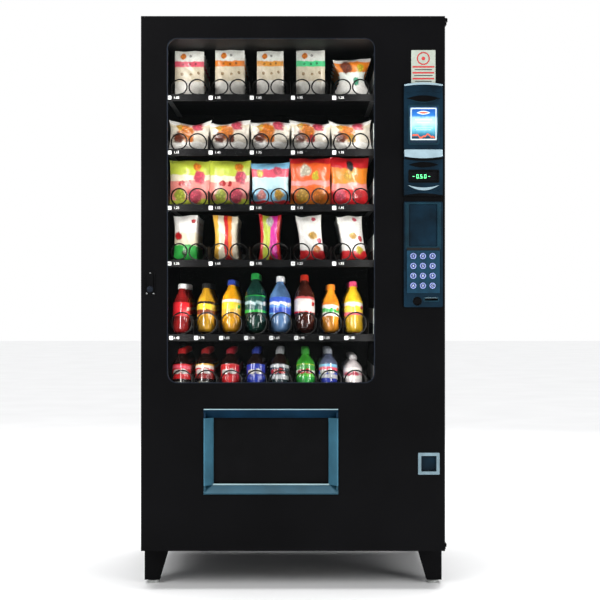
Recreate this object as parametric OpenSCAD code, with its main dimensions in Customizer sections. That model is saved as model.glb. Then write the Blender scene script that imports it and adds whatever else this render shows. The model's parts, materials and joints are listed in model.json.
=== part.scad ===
// Glass-front snack and drink vending machine with a full-height door, six product trays,
// twin wire spirals, a push-in delivery flap and a bottom-mounted cooling unit.
// Millimetres. Origin on the floor at the middle of the footprint. +Z is up, the front faces -Y.

/* [Cabinet] */
// Width over the side walls
cabinet_w = 980; // [960:5:1000]
// Height from the floor to the cabinet top
machine_h = 1850; // [1840:2:1870]
// Depth from the door face to the back wall
machine_d = 920; // [910:2:940]
// Height of the legs under the cabinet
leg_h = 126; // [116:1:130]
// Sheet steel thickness of the outer skins
sheet = 2; // [1.5:0.5:2.5]

/* [Door] */
// Depth of the door
door_t = 112; // [108:1:116]
// Height of the rubber seal between door and cabinet
seal_gap = 8; // [6:1:9]
// Corner radius of the window
window_r = 30; // [20:1:40]

/* [Trays] */
// Lane width of a snack tray
snack_lane = 139; // [136:0.5:140]
// Number of lanes on a snack tray
snack_lanes = 5; // [5:1:5]
// Number of lanes on a drink tray
drink_lanes = 8; // [7:1:8]
// Lane width of a drink tray
drink_lane = 84.5; // [82:0.5:86]
// Turns of a snack spiral
snack_turns = 6; // [5:1:7]
// Turns of a drink spiral
drink_turns = 7; // [6:1:8]
// Wire diameter of the spirals
wire_d = 5; // [4:0.5:5]

/* [Keypad] */
// Distance between key centres
key_pitch = 31; // [29:0.5:32]
// Diameter of a key
key_d = 20; // [17:0.5:22]

/* [Hidden] */
$fn = 64;
x_side = cabinet_w / 2;
y_front = -machine_d / 2;
y_door = y_front + door_t;        // back plane of the door
y_cab = y_door + seal_gap;        // front plane of the cabinet
y_back = machine_d / 2;

// product compartment, inside the liner
room_x = [-434, 280];
room_y = [y_cab + 4, 412];
room_z = [602, 1800];
chute_back = -78;                 // the delivery shaft runs from the door to here
chute_z = 326;                    // and down to here
liner_t = 2;

// window, delivery frame, coin cup and control column, on the door's face
window_x = [-403, 261];
window_z = [670, 1776];
frame_x = [-288, 146];
frame_z = [309, 585];
frame_bar = 31;
cup_x = [403, 472];
cup_z = [373, 443];
column_x = [357, 482];
column_z = [912, 1631];
lock_at = [-460, 970];
cam_y = [y_cab - 2.8, y_cab - 0.4];
cam_bore = 3.5;

// hinge line, just outside the right front corner of the cabinet
hinge_x = x_side + 6;
hinge_y = y_cab - 4;
pin_r = 4;
eye_r = 7;                        // clears the cabinet's corner as the door turns
fit = 0.05;                       // radial running clearance

// trays
tray_x = [-429, 273];
tray_y = [-215, 340];
pan_t = 1.5;
snack_z = [1627, 1442, 1255, 1067];
drink_z = [816, 619];
tray_wall = 38;
motor_wall = 64;                  // the back wall stands higher, behind the motors
side_guard = 90;                  // sheet guard beside the right-hand lane
snack_mid = -80;                  // middle of the lanes, left of the tray's own middle
drink_mid = -84;
coil_front = tray_y[0] + 5;
coil_back = 322;
snack_pitch = (coil_back - coil_front) / snack_turns;
drink_pitch = (coil_back - coil_front) / drink_turns;
snack_r = 28.5;                   // radius to the middle of the wire
drink_r = 36.5;
coil_gap = 64;                    // between the two spirals of a snack lane
wire_r = wire_d / 2;
shaft_r = 4;
driven_lane = 2;                  // lane of the top tray whose spirals turn, counted from 0

// delivery flap
flap_axis = [y_front + 36, frame_z[1] - 21];
rod_r = 4;
// coin cup flap
cup_axis = [y_front + 14, cup_z[1] - 14];

// keypad
key_x0 = 386.5;
key_z0 = 981;
key_names = ["key_star", "key_0", "key_hash", "key_7", "key_8", "key_9", "key_4", "key_5", "key_6",
             "key_1", "key_2", "key_3"];
pad_x = [366, 472];
pad_z = [957, 1094];
return_at = [400, 931];
column_face = y_front - 12;

// fans: [x, y, z] of the hub's front face, and the radius
evap_fan = [-225, 24, 492];
cond_fan = [-280, -214, 220];
deck_z = leg_h + sheet + 8;       // top of the cooling deck

// ---------- helpers ----------

module block(lo, hi) {
    translate(lo) cube(hi - lo);
}

// a flat shape drawn in X and Z, given depth from y0 to y1
module facing(y0, y1) {
    rotate([90, 0, 0]) translate([0, 0, -y1]) linear_extrude(y1 - y0) children();
}

module round_rect(x, z, r) {
    translate([x[0] + r, z[0]]) square([x[1] - x[0] - 2 * r, z[1] - z[0]]);
    translate([x[0], z[0] + r]) square([x[1] - x[0], z[1] - z[0] - 2 * r]);
    for (px = [x[0] + r, x[1] - r], pz = [z[0] + r, z[1] - r]) translate([px, pz]) circle(r);
}

function grow(span, by) = [span[0] - by, span[1] + by];
function mid(span) = (span[0] + span[1]) / 2;

module ring_plate(x, z, r, inset, y0, y1) {
    facing(y0, y1) difference() {
        round_rect(x, z, r);
        round_rect(grow(x, -inset), grow(z, -inset), max(r - inset, 1));
    }
}

module rod_y(at, r, y0, y1) {
    translate([at[0], y0, at[1]]) rotate([-90, 0, 0]) cylinder(r = r, h = y1 - y0);
}

module rod_x(y, z, r, x0, x1) {
    translate([x0, y, z]) rotate([0, 90, 0]) cylinder(r = r, h = x1 - x0);
}

module rod_z(at, r, z0, z1) {
    translate([at[0], at[1], z0]) cylinder(r = r, h = z1 - z0);
}

// the product compartment with the delivery shaft in front of it, grown by g on its closed sides
module room(g, front) {
    block([room_x[0] - g, front, room_z[0] - g], [room_x[1] + g, room_y[1] + g, room_z[1] + g]);
    block([room_x[0] - g, front, chute_z - g], [room_x[1] + g, chute_back + g, room_z[1]]);
}

// ---------- cabinet ----------

module cabinet_shell() {
    color("#141416") difference() {
        block([-x_side, y_cab, leg_h], [x_side, y_back, machine_h]);
        block([-x_side + sheet, y_cab - 1, leg_h + sheet], [x_side - sheet, y_back - sheet, machine_h - sheet]);
        block([-280, y_back - 5, 200], [280, y_back + 1, 470]);
        block([340, y_back - 5, leg_h + 38], [370, y_back + 1, leg_h + 62]);
        // fixing holes for the legs
        for (x = [-1, 1], y = leg_rows) rod_z([x * leg_bolt_x, y], 4.2, leg_h - 1, leg_h + sheet + 1);
    }
}

leg_bolt_x = x_side - 34;
leg_rows = [y_cab + 34, y_back - 34];

module insulation() {
    color("#d8cfa6") difference() {
        union() {
            block([-x_side + sheet, y_cab + 4, 574], [room_x[1] + 18, y_back - sheet, machine_h - sheet]);
            block([-x_side + sheet, y_cab + 4, 310], [room_x[1] + 18, chute_back + 18, 700]);
        }
        room(liner_t, y_cab - 1);
    }
}

module cabinet_liner() {
    color("#26272b") {
        difference() {
            room(liner_t, room_y[0]);
            room(0, room_y[0] - 1);
        }
        // front flange that the seal closes on, round the compartment
        difference() {
            facing(y_cab, room_y[0])
                round_rect([-x_side + sheet, room_x[1] + 18], [310, machine_h - sheet], 2);
            facing(y_cab - 1, room_y[0] + 1) round_rect(room_x, [chute_z, room_z[1]], 2);
        }
    }
}

// one leg of folded sheet: two tapering faces, a sole and a bolting flange
module leg(sx, sy) {
    top = 84;
    foot = 50;
    t = 3;
    sole = 12;
    taper = [[0, sole], [foot, sole], [foot + 6, sole + 20], [top, leg_h], [0, leg_h]];
    translate([sx * x_side, sy > 0 ? y_back : y_cab, 0]) scale_sign(-sx, -sy) {
        rotate([90, 0, 0]) translate([0, 0, -t]) linear_extrude(t) polygon(taper);
        rotate([90, 0, 90]) linear_extrude(t) polygon(taper);
        difference() {
            block([0, 0, sole], [foot, foot, sole + t]);
            rod_z([28, 28], 5.3, sole - 1, sole + t + 1);
        }
        difference() {
            block([0, 0, leg_h - t], [top - 6, top - 6, leg_h]);
            rod_z([34, 34], 4.2, leg_h - t - 1, leg_h + 1);
        }
    }
}

module scale_sign(sx, sy) {
    mirror([sx < 0 ? 1 : 0, 0, 0]) mirror([0, sy < 0 ? 1 : 0, 0]) children();
}

module legs() {
    color("#121214") for (sx = [-1, 1], sy = [-1, 1]) leg(sx, sy);
}

module levelling_feet() {
    color("#5a5d60") for (sx = [-1, 1], y = [y_cab + 28, y_back - 28]) {
        rod_z([sx * (x_side - 28), y], 20, 0, 9);
        rod_z([sx * (x_side - 28), y], 5, 9, 60);
        translate([sx * (x_side - 28), y, 15]) cylinder(r = 9, h = 6, $fn = 6);
    }
}

module top_hinge() {
    // bolted to the cabinet top; the boss stands over the door's corner, with its pin downwards
    z = machine_h;
    color("#17181a") {
        block([hinge_x - 112, y_cab, z], [hinge_x - 6, y_cab + 86, z + 5]);
        block([hinge_x - 60, hinge_y - 8, z + 1], [hinge_x, y_cab + 4, z + 5]);
        rod_z([hinge_x, hinge_y], 13, z + 1, z + 13);
        rod_z([hinge_x, hinge_y], pin_r, z - 15, z + 16);
        for (x = [-92, -40]) translate([hinge_x + x, y_cab + 60, z + 5]) cylinder(r = 7.5, h = 5, $fn = 6);
    }
}

module bottom_hinge() {
    // bracket on the front of the leg, with the pin standing up into the door's ear
    color("#17181a") {
        block([x_side - 60, hinge_y - 8, leg_h - 12], [hinge_x, y_cab, leg_h - 6]);
        rod_z([hinge_x, hinge_y], eye_r, leg_h - 12, leg_h - 0.4);
        rod_z([hinge_x, hinge_y], pin_r, leg_h - 12, leg_h + 12);
    }
}

// ---------- trays ----------

module tray_rails() {
    color("#3a3c40") for (z = concat(snack_z, drink_z)) {
        for (side = [0, 1]) {
            x0 = side == 0 ? room_x[0] : tray_x[1] + 1;
            x1 = side == 0 ? tray_x[0] - 1 : room_x[1];
            lip = side == 0 ? [x0, x0 + 16] : [x1 - 16, x1];
            block([x0, tray_y[0] + 10, z - 7.5], [x1, tray_y[1], z + 30]);
            block([lip[0], tray_y[0] + 10, z - 7.5], [lip[1], tray_y[1], z - 5]);
            if (side == 1) block([x0, tray_y[0] + 10, z + 30], [x0 + 1.5, tray_y[1], z + side_guard]);
        }
    }
}

// pan with side walls, a drilled back wall, lane dividers and standing ribs; z is its floor
module tray(z, lanes, lane_w, lane_mid, holes) {
    x0 = lane_mid - lanes * lane_w / 2;
    difference() {
        union() {
            block([tray_x[0], tray_y[0], z - 5], [tray_x[1], tray_y[1], z + tray_wall]);
            block([tray_x[0], tray_y[1] - pan_t, z - 5], [tray_x[1], tray_y[1], z + motor_wall]);
        }
        block([tray_x[0] + pan_t, tray_y[0] - 1, z], [tray_x[1] - pan_t, tray_y[1] - pan_t, z + tray_wall + 1]);
        block([tray_x[0] + pan_t, tray_y[0] - 1, z - 6], [tray_x[1] - pan_t, tray_y[1] + 1, z - pan_t]);
        for (h = holes) rod_y([h[0], h[1]], 6, tray_y[1] - 5, tray_y[1] + 5);
    }
    for (i = [1 : (lane_mid == drink_mid ? lanes : lanes - 1)])
        block([x0 + i * lane_w - 0.6, tray_y[0] + 4, z], [x0 + i * lane_w + 0.6, tray_y[1] - 14, z + tray_wall + 12]);
}

function snack_lane_x(i) = snack_mid + (i - (snack_lanes - 1) / 2) * snack_lane;
function drink_lane_x(i) = drink_mid + (i - (drink_lanes - 1) / 2) * drink_lane;
function snack_axes(z) = [for (i = [0 : snack_lanes - 1], s = [-1, 1])
    [snack_lane_x(i) + s * coil_gap / 2, z + snack_r + wire_r + 1]];
function drink_axes(z) = [for (i = [0 : drink_lanes - 1]) [drink_lane_x(i), z + drink_r + wire_r + 1]];

module snack_trays() {
    color("#1b1c1f") for (z = snack_z) tray(z, snack_lanes, snack_lane, snack_mid, snack_axes(z));
}

module drink_trays() {
    color("#1b1c1f") for (z = drink_z) tray(z, drink_lanes, drink_lane, drink_mid, drink_axes(z));
}

module price_rails() {
    color("#0e0f10") for (z = concat(snack_z, drink_z)) {
        translate([tray_x[0], tray_y[0], z]) rotate([90, 0, 90]) linear_extrude(tray_x[1] - tray_x[0])
            polygon([[0, -5], [0, 3], [-3, 4], [-6, -20], [-3, -21], [-1.5, -5]]);
    }
}

// points of a wire that winds round a level axis; the tip is at the bottom, at the front
function coil_at(a, r, pitch, hand) =
    [hand * r * sin(a), pitch * a / 360, -r * cos(a)];
function coil_rim(a, r, pitch, hand, wire, sides, k) =
    let (b = 360 * k / sides, out = r + wire * cos(b))
    [hand * out * sin(a), pitch * a / 360 + wire * sin(b), -out * cos(a)];

module coil(axis, r, pitch, turns, hand, seg, sides) {
    rings = turns * seg;
    points = [for (i = [0 : rings], k = [0 : sides - 1])
        coil_rim(360 * i / seg, r, pitch, hand, wire_r, sides, k)];
    walls = [for (i = [0 : rings - 1], k = [0 : sides - 1])
        let (a = i * sides + k, b = i * sides + (k + 1) % sides)
        each [[a, b, b + sides], [a, b + sides, a + sides]]];
    faces = concat(walls, [[for (k = [sides - 1 : -1 : 0]) k]], [[for (k = [0 : sides - 1]) rings * sides + k]]);
    turned = hand < 0 ? faces : [for (f = faces) [for (i = [len(f) - 1 : -1 : 0]) f[i]]];
    translate([axis[0], coil_front, axis[1]]) polyhedron(points, turned, convexity = 8);
}

module snack_spirals() {
    color("#2b2422") for (t = [0 : len(snack_z) - 1]) {
        axes = snack_axes(snack_z[t]);
        for (i = [0 : len(axes) - 1])
            if (!(t == 0 && floor(i / 2) == driven_lane))
                coil(axes[i], snack_r, snack_pitch, snack_turns, i % 2 == 0 ? 1 : -1, 8, 3);
    }
}

module drink_spirals() {
    color("#2b2422") for (z = drink_z, a = drink_axes(z)) coil(a, drink_r, drink_pitch, drink_turns, 1, 8, 3);
}

// a spiral that turns: wire, end disc and drive shaft as one piece
module driven_spiral(axis, hand) {
    color("#2b2422") {
        coil(axis, snack_r, snack_pitch, snack_turns, hand, 16, 6);
        rod_y(axis, snack_r + 2, coil_back - 1, coil_back + 3);
        rod_y(axis, shaft_r, coil_back + 3, tray_y[1] + 16);
    }
}

driven = [for (s = [-1, 1]) [snack_lane_x(driven_lane) + s * coil_gap / 2, snack_z[0] + snack_r + wire_r + 1]];

module spiral_left() { driven_spiral(driven[0], 1); }
module spiral_right() { driven_spiral(driven[1], -1); }

// packs standing in the driven lane, one in each turn, on the thin sealed foot of the pack
module snack_packs() {
    x = snack_lane_x(driven_lane);
    color("#e8d9b0") for (i = [1 : snack_turns - 1]) {
        y = coil_front + i * snack_pitch;
        block([x - 46, y - 8, snack_z[0] + 13], [x + 46, y + 8, snack_z[0] + 165]);
    }
}

// gear motor on the tray's back wall; bores take the shafts of its spirals
module vend_motor(axes, w, reach, shafted) {
    x = (axes[0][0] + axes[len(axes) - 1][0]) / 2;
    z = axes[0][1];
    difference() {
        block([x - w / 2, tray_y[1], z - 26], [x + w / 2, tray_y[1] + 34, z + 26]);
        if (!shafted) for (a = axes) rod_y(a, shaft_r + fit, tray_y[1] - 1, tray_y[1] + 18);
    }
    y = coil_back + wire_r * sin(120) + 0.02;
    if (shafted) for (a = axes) {
        rod_y(a, shaft_r, y, tray_y[1] + 2);
        block([a[0] - 5, y, z - reach - 2], [a[0] + 5, y + 2, z + 5]);
    }
}

module vend_motors() {
    color("#c9c9c4") {
        for (t = [0 : len(snack_z) - 1], i = [0 : snack_lanes - 1]) {
            axes = snack_axes(snack_z[t]);
            vend_motor([axes[2 * i], axes[2 * i + 1]], 104, snack_r, !(t == 0 && i == driven_lane));
        }
        for (z = drink_z, a = drink_axes(z)) vend_motor([a], 58, drink_r, true);
    }
}

// ---------- inside the cabinet ----------

module air_duct() {
    color("#2e3034") difference() {
        block([room_x[0] + 4, 388, room_z[0]], [room_x[1] - 4, 391, room_z[1] - 20]);
        for (i = [0 : 5], z = concat(snack_z, drink_z))
            block([room_x[0] + 52 + i * 108, 380, z + 96], [room_x[0] + 122 + i * 108, 400, z + 104]);
    }
}

module evaporator() {
    color("#a9b0b5") {
        for (x = [-420 : 30 : -30]) block([x, 90, 410], [x + 1.5, 380, 566]);
        for (z = [440, 488, 536], y = [130, 200, 270, 340]) rod_x(y, z, 6, -426, -18);
        // fan motor on its cross bracket, in front of the fins
        difference() {
            union() {
                rod_y([evap_fan[0], evap_fan[2]], 30, evap_fan[1] + 30, evap_fan[1] + 62);
                block([-420, evap_fan[1] + 52, evap_fan[2] - 8], [-28.5, evap_fan[1] + 56, evap_fan[2] + 8]);
            }
            rod_y([evap_fan[0], evap_fan[2]], 4 + fit, evap_fan[1] + 20, evap_fan[1] + 45);
        }
        block([-426, evap_fan[1] + 52, 404], [-420, 384, 574]);
        block([-28.5, evap_fan[1] + 52, 404], [-22.5, 384, 574]);
    }
}

module compressor() {
    color("#161718") {
        rod_z([-280, 160], 92, 152, 330);
        translate([-280, 160, 330]) cylinder(r1 = 92, r2 = 60, h = 24);
        for (a = [45 : 90 : 315]) translate([-280, 160, 0]) rotate([0, 0, a]) translate([100, 0, deck_z])
            cylinder(r = 16, h = 154 - deck_z);
        block([-400, 60, 148], [-160, 260, 152]);
    }
}

module condenser() {
    color("#8c9296") {
        for (x = [-430 : 12 : -130]) block([x, -296, 144], [x + 1.5, -236, 296]);
        for (z = [160 : 29 : 290], y = [-282, -250]) rod_x(y, z, 5, -436, -122);
        // fan motor held by two struts between the end plates
        difference() {
            union() {
                rod_y([cond_fan[0], cond_fan[2]], 30, cond_fan[1] + 34, cond_fan[1] + 78);
                for (z = [-14, 14]) block([-436, cond_fan[1] + 60, cond_fan[2] + z - 4],
                                          [-122, cond_fan[1] + 64, cond_fan[2] + z + 4]);
            }
            rod_y([cond_fan[0], cond_fan[2]], 4 + fit, cond_fan[1] + 20, cond_fan[1] + 52);
        }
        for (x = [-440, -124]) block([x, -300, deck_z], [x + 4, cond_fan[1] + 64, 302]);
    }
}

// hub with raked blades and a shaft stub
module fan(at, r, blades) {
    rod_y([at[0], at[2]], 22, at[1], at[1] + 22);
    rod_y([at[0], at[2]], 4, at[1] + 22, at[1] + 42);
    translate(at) for (i = [0 : blades - 1]) rotate([0, i * 360 / blades, 0])
        translate([0, 11, 18]) rotate([0, 0, 32]) translate([-22, -1, 0]) cube([44, 2, r - 18]);
}

module evaporator_fan() { color("#dcdcd8") fan(evap_fan, 78, 5); }
module condenser_fan() { color("#dcdcd8") fan(cond_fan, 76, 5); }

module cooling_deck() {
    color("#7d8286") {
        block([-450, -310, leg_h + sheet], [450, 440, deck_z]);
        // mains inlet on the deck's back edge, with its three-pole recess
        difference() {
            block([330, 436, leg_h + 30], [380, y_back - sheet, leg_h + 70]);
            block([340, 446, leg_h + 38], [370, y_back, leg_h + 62]);
        }
        block([330, 420, leg_h + 10], [380, 436, leg_h + 70]);
    }
}

module rear_grille() {
    color("#1d1e20") difference() {
        facing(y_back, y_back + 8) round_rect([-300, 300], [180, 490], 8);
        for (x = [-250 : 62 : 230], z = [215 : 18 : 450]) block([x, y_back - 1, z], [x + 46, y_back + 9, z + 9]);
    }
}

module delivery_bin() {
    color("#202124") {
        bin_z = chute_z;
        block([room_x[0] + 4, y_cab + 6, bin_z], [room_x[1] - 4, chute_back - 4, bin_z + 2]);
        block([room_x[0] + 4, chute_back - 6, bin_z + 2], [room_x[1] - 4, chute_back - 4, room_z[0] - 6]);
        for (x = [room_x[0] + 4, room_x[1] - 6])
            block([x, y_cab + 6, bin_z + 2], [x + 2, chute_back - 6, room_z[0] - 6]);
        block([room_x[0] + 6, y_cab + 6, bin_z + 2], [room_x[1] - 6, y_cab + 8, bin_z + 8]);
    }
}

module latch_strike() {
    // angle on the liner's front flange; the cam turns in behind its lip
    color("#9a9da0") {
        block([-x_side + sheet, y_cab - 6, lock_at[1] - 30], [-x_side + sheet + 3, y_cab, lock_at[1] + 30]);
        block([-x_side + sheet + 3, y_cab - 6, lock_at[1] - 30],
              [-x_side + sheet + 12, y_cab - 3.2, lock_at[1] + 30]);
    }
}

module light_strips() {
    color("#f4f6f8") for (x = [room_x[0], room_x[1] - 10])
        block([x, y_cab + 14, 690], [x + 10, y_cab + 34, 1770]);
}

module control_box() {
    x = [room_x[1] + 18, 456];
    color("#b8bbb8") {
        difference() {
            block([x[0], 120, 1040], [x[1], 300, 1330]);
            block([x[0] + 2, 119, 1042], [x[1] - 2, 298, 1328]);
        }
        block([x[0], 116, 1038], [x[1] + 2, 120, 1332]);
        for (px = [x[0] + 16, x[1] - 20], z = [1070, 1300]) rod_y([px, z], 4, 289, 298);
    }
    color("#1f5a32") block([x[0] + 6, 286, 1060], [x[1] - 8, 289, 1310]);
}

// ---------- door ----------

module door_skin() {
    color("#0d0d0f") {
        difference() {
            block([-x_side, y_front, leg_h], [x_side, y_door, machine_h]);
            block([-x_side + sheet, y_front + sheet, leg_h + sheet], [x_side - sheet, y_door + 1, machine_h - sheet]);
            facing(y_front - 1, y_front + 5) {
                round_rect(window_x, window_z, window_r);
                round_rect(grow(frame_x, -4), grow(frame_z, -4), 2);
                round_rect(grow(cup_x, -3), grow(cup_z, -3), 2);
                round_rect(grow(column_x, -4), grow(column_z, -4), 4);
            }
            rod_y(lock_at, 12, y_front - 1, y_front + 5);
        }
        // ears that take the hinge pins
        for (z = [[leg_h, leg_h + 10], [machine_h - 13, machine_h - 3]]) difference() {
            union() {
                rod_z([hinge_x, hinge_y], eye_r, z[0], z[1]);
                block([x_side, hinge_y - 30, z[0]], [hinge_x + eye_r, hinge_y, z[1]]);
            }
            rod_z([hinge_x, hinge_y], pin_r + fit, z[0] - 1, z[1] + 1);
        }
    }
}

module door_liner() {
    jamb_x = grow(window_x, 14);
    jamb_z = grow(window_z, 14);
    color("#1a1b1e") {
        difference() {
            block([-x_side + sheet, y_door - 2, leg_h + sheet], [x_side - sheet, y_door, machine_h - sheet]);
            facing(y_door - 3, y_door + 1) {
                round_rect(jamb_x, jamb_z, 36);
                round_rect(grow(frame_x, 6), [frame_z[0] + 16, frame_z[1] + 12], 2);
                round_rect([344, 484], [566, 1640], 2);
            }
            rod_y(lock_at, 12, y_door - 3, y_door + 1);
        }
        ring_plate(grow(jamb_x, 2), grow(jamb_z, 2), 38, 2, y_front + sheet, y_door - 2);
    }
}

module door_gasket() {
    color("#2c2d2f") ring_plate(grow(room_x, 12), [chute_z - 12, room_z[1] + 12], 4, 10, y_door, y_cab);
}

module window_glass() {
    color("#c8d8dc", 0.3) {
        facing(y_front + 2, y_front + 6) round_rect(grow(window_x, 10), grow(window_z, 10), window_r + 8);
        facing(y_front + 18, y_front + 22) round_rect(grow(window_x, 10), grow(window_z, 10), window_r + 8);
    }
    color("#3a3a3a") ring_plate(grow(window_x, 10), grow(window_z, 10), window_r + 8, 10, y_front + 6, y_front + 18);
}

module window_trim() {
    color("#8f9aa6") ring_plate(grow(window_x, 3), grow(window_z, 3), window_r + 3, 3, y_front - 2, y_front);
}

module delivery_frame() {
    ear = 9;
    color("#5d7f92") difference() {
        union() {
            facing(y_front - 10, y_front) round_rect(frame_x, frame_z, 2);
            facing(y_front, y_front + 30) round_rect(grow(frame_x, -4), grow(frame_z, -4), 2);
            for (x = [frame_x[0] + 6, frame_x[1] - 18])
                block([x, y_front + 30, flap_axis[1] - ear], [x + 12, flap_axis[0] + ear, flap_axis[1] + ear]);
        }
        hull() {
            facing(y_front - 11, y_front - 10) square_span(grow(frame_x, -4), grow(frame_z, -4));
            facing(y_front + 25, y_front + 26) square_span(grow(frame_x, -frame_bar), grow(frame_z, -frame_bar));
        }
        facing(y_front + 25.5, y_front + 31) square_span(grow(frame_x, -frame_bar), grow(frame_z, -frame_bar));
        rod_x(flap_axis[0], flap_axis[1], rod_r + fit, frame_x[0], frame_x[1]);
    }
}

module square_span(x, z) {
    translate([x[0], z[0]]) square([x[1] - x[0], z[1] - z[0]]);
}

module delivery_flap() {
    x = grow(frame_x, -26);
    color("#0a0a0b") difference() {
        union() {
            block([x[0], y_front + 31.5, frame_z[0] + 27], [x[1], y_front + 36.5, flap_axis[1] + 2]);
            rod_x(flap_axis[0], flap_axis[1], rod_r, frame_x[0] + 7, frame_x[1] - 7);
            // stiffening fold along the lower edge
            block([x[0] + 6, y_front + 36.5, frame_z[0] + 27], [x[1] - 6, y_front + 48, frame_z[0] + 30]);
        }
    }
}

// moulded column: a bill head, a bright band, a display pod and a keypad bed
module control_column() {
    band = [1391, 1419];
    pod = [1270, 1391];
    bed = [column_z[0], 1251];
    color("#1d3c4c") {
        difference() {
            union() {
                facing(column_face, y_front) round_rect(column_x, [band[1], column_z[1]], 5);
                facing(column_face, y_front) round_rect(column_x, pod, 5);
                facing(column_face + 2, y_front) round_rect(column_x, bed, 5);
                facing(column_face - 3, y_front) round_rect(column_x, band, 3);
                facing(y_front - 4, y_front) round_rect(grow(column_x, -2), column_z, 5);
                facing(y_front, y_front + 14) round_rect(grow(column_x, -4), grow(column_z, -4), 4);
            }
            // hand scoops under the brows
            brow(1582, 108, 20);
            brow(1370, 96, 18);
            facing(column_face - 5, y_front + 4) round_rect([376, 465], [1440, 1556], 3);
            facing(column_face - 5, y_front + 4) round_rect([375, 466], [1316, 1350], 2);
            facing(column_face - 5, y_front - 4) round_rect([371, 465], [1104, 1245], 3);
            facing(column_face - 5, y_front + 4) square_span(pad_x, pad_z);
            facing(y_front + 3, y_front + 15) square_span(grow(pad_x, -3), grow(pad_z, -3));
            facing(column_face - 5, y_front + 15) round_rect([424, 466], [933, 941], 3);
            rod_y(return_at, 11, column_face - 5, y_front + 15);
            facing(y_front + 2, y_front + 15) square_span([372, 468], [1300, 1600]);
        }
        // collar that guides the return button
        difference() {
            rod_y(return_at, 14, y_front + 14, y_front + 24);
            rod_y(return_at, 8.1, y_front + 13, y_front + 25);
        }
        facing(column_face - 4, column_face) lens([418, 1297], 96, 13);
    }
}

// a pointed lens outline from two arcs, w wide and h high
module lens(at, w, h) {
    r = (w * w / 4 + h * h / 4) / h;
    translate(at) intersection() {
        translate([0, h / 2 - r]) circle(r, $fn = 128);
        translate([0, r - h / 2]) circle(r, $fn = 128);
    }
}

module brow(z, w, h) {
    facing(column_face - 5, y_front - 2) lens([mid(column_x), z], w, h);
}

module display_window() {
    color("#05060a") facing(y_front - 4, y_front + 4) round_rect([375, 466], [1316, 1350], 2);
}

module picture_card() {
    color("#5f9fd0") facing(y_front - 4, y_front + 4) round_rect([376, 465], [1440, 1556], 3);
}

function key_at(i) = [key_x0 + (i % 3) * key_pitch, key_z0 + floor(i / 3) * (key_pitch + 0.7)];

module keypad_plate() {
    color("#2b4a63") difference() {
        facing(column_face - 2, y_front + 4) square_span(pad_x, pad_z);
        for (i = [0 : 11]) rod_y(key_at(i), key_d / 2 + 0.1, column_face - 3, y_front + 5);
    }
    // switch board behind the keys
    color("#1f5a32") facing(y_front + 14, y_front + 16) square_span(pad_x, pad_z);
}

// round key with a retaining flange behind the plate
module key(i) {
    at = key_at(i);
    color("#9fb2c4") {
        difference() {
            rod_y(at, key_d / 2, column_face - 4.5, y_front + 4.3);
            rod_y(at, key_d / 2 - 3, column_face - 5, column_face - 3.5);
        }
        rod_y(at, key_d / 2 + 2.5, y_front + 4.3, y_front + 6.3);
    }
}

module coin_return_button() {
    color("#0c0c0e") {
        rod_y(return_at, 10.5, column_face - 2, y_front + 8);
        rod_y(return_at, 8, y_front + 8, y_front + 34);
    }
}

module bill_validator() {
    color("#34383d") {
        block([366, y_front + 14, 1420], [474, y_door + 30, 1600]);
        block([384, y_front + 24, 1600], [456, y_door + 20, 1622]);
    }
}

module coin_changer() {
    color("#3b3f45") {
        block([356, y_front + 52, 570], [476, y_door + 14, 900]);
        for (i = [0 : 4]) rod_z([370 + i * 22, y_door + 14], 9, 600, 700);
        // flange screwed to the inner door
        block([338, y_door, 560], [486, y_door + 2, 906]);
        // coin chute down from the slot
        difference() {
            block([420, y_front + 14, 890], [470, y_front + 64, 946]);
            block([423, y_front + 13, 901], [467, y_front + 50, 942]);
        }
    }
}

module coin_cup() {
    color("#8fa3ae") difference() {
        union() {
            facing(y_front - 6, y_front) round_rect(cup_x, cup_z, 2);
            facing(y_front, y_front + 54) round_rect(grow(cup_x, -3), grow(cup_z, -3), 2);
        }
        facing(y_front - 7, y_front + 51) square_span(grow(cup_x, -10), grow(cup_z, -10));
        rod_x(cup_axis[0], cup_axis[1], 2 + fit, cup_x[0] + 4, cup_x[1] - 4);
        // coins drop in from above
        block([cup_x[0] + 16, y_front + 28, cup_z[1] - 12], [cup_x[1] - 16, y_front + 46, cup_z[1]]);
    }
}

module coin_flap() {
    x = grow(cup_x, -11);
    color("#23404a") {
        block([x[0], y_front + 10, cup_z[0] + 12], [x[1], y_front + 13, cup_axis[1]]);
        rod_x(cup_axis[0], cup_axis[1], 2, cup_x[0] + 5, cup_x[1] - 5);
    }
}

module lock_plate() {
    color("#1c1d20") difference() {
        union() {
            facing(y_front - 3, y_front) round_rect([lock_at[0] - 17, lock_at[0] + 17], [lock_at[1] - 20, lock_at[1] + 56], 6);
            rod_y(lock_at, 12 - fit, y_front, y_front + 20);
        }
        rod_y(lock_at, 7 + fit, y_front - 5, y_front + 21);
    }
}

// grip above a round plug, on the shaft that carries the cam
module lock_handle() {
    color("#2a2b2e") {
        facing(y_front - 11, y_front - 4) {
            translate(lock_at) circle(11);
            round_rect([lock_at[0] - 9, lock_at[0] + 9], [lock_at[1], lock_at[1] + 50], 5);
        }
        rod_y(lock_at, 7, y_front - 4, cam_y[0]);
        rod_y(lock_at, cam_bore, cam_y[0], cam_y[1]);
    }
}

// cam plate behind the door; it hangs down when unlocked and turns out behind the strike
module latch_cam() {
    color("#a0a3a6") difference() {
        facing(cam_y[0], cam_y[1]) {
            translate(lock_at) circle(11);
            round_rect([lock_at[0] - 8, lock_at[0] + 8], [lock_at[1] - 24, lock_at[1]], 3);
        }
        rod_y(lock_at, cam_bore, cam_y[0] - 1, cam_y[1] + 1);
    }
}

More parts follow.
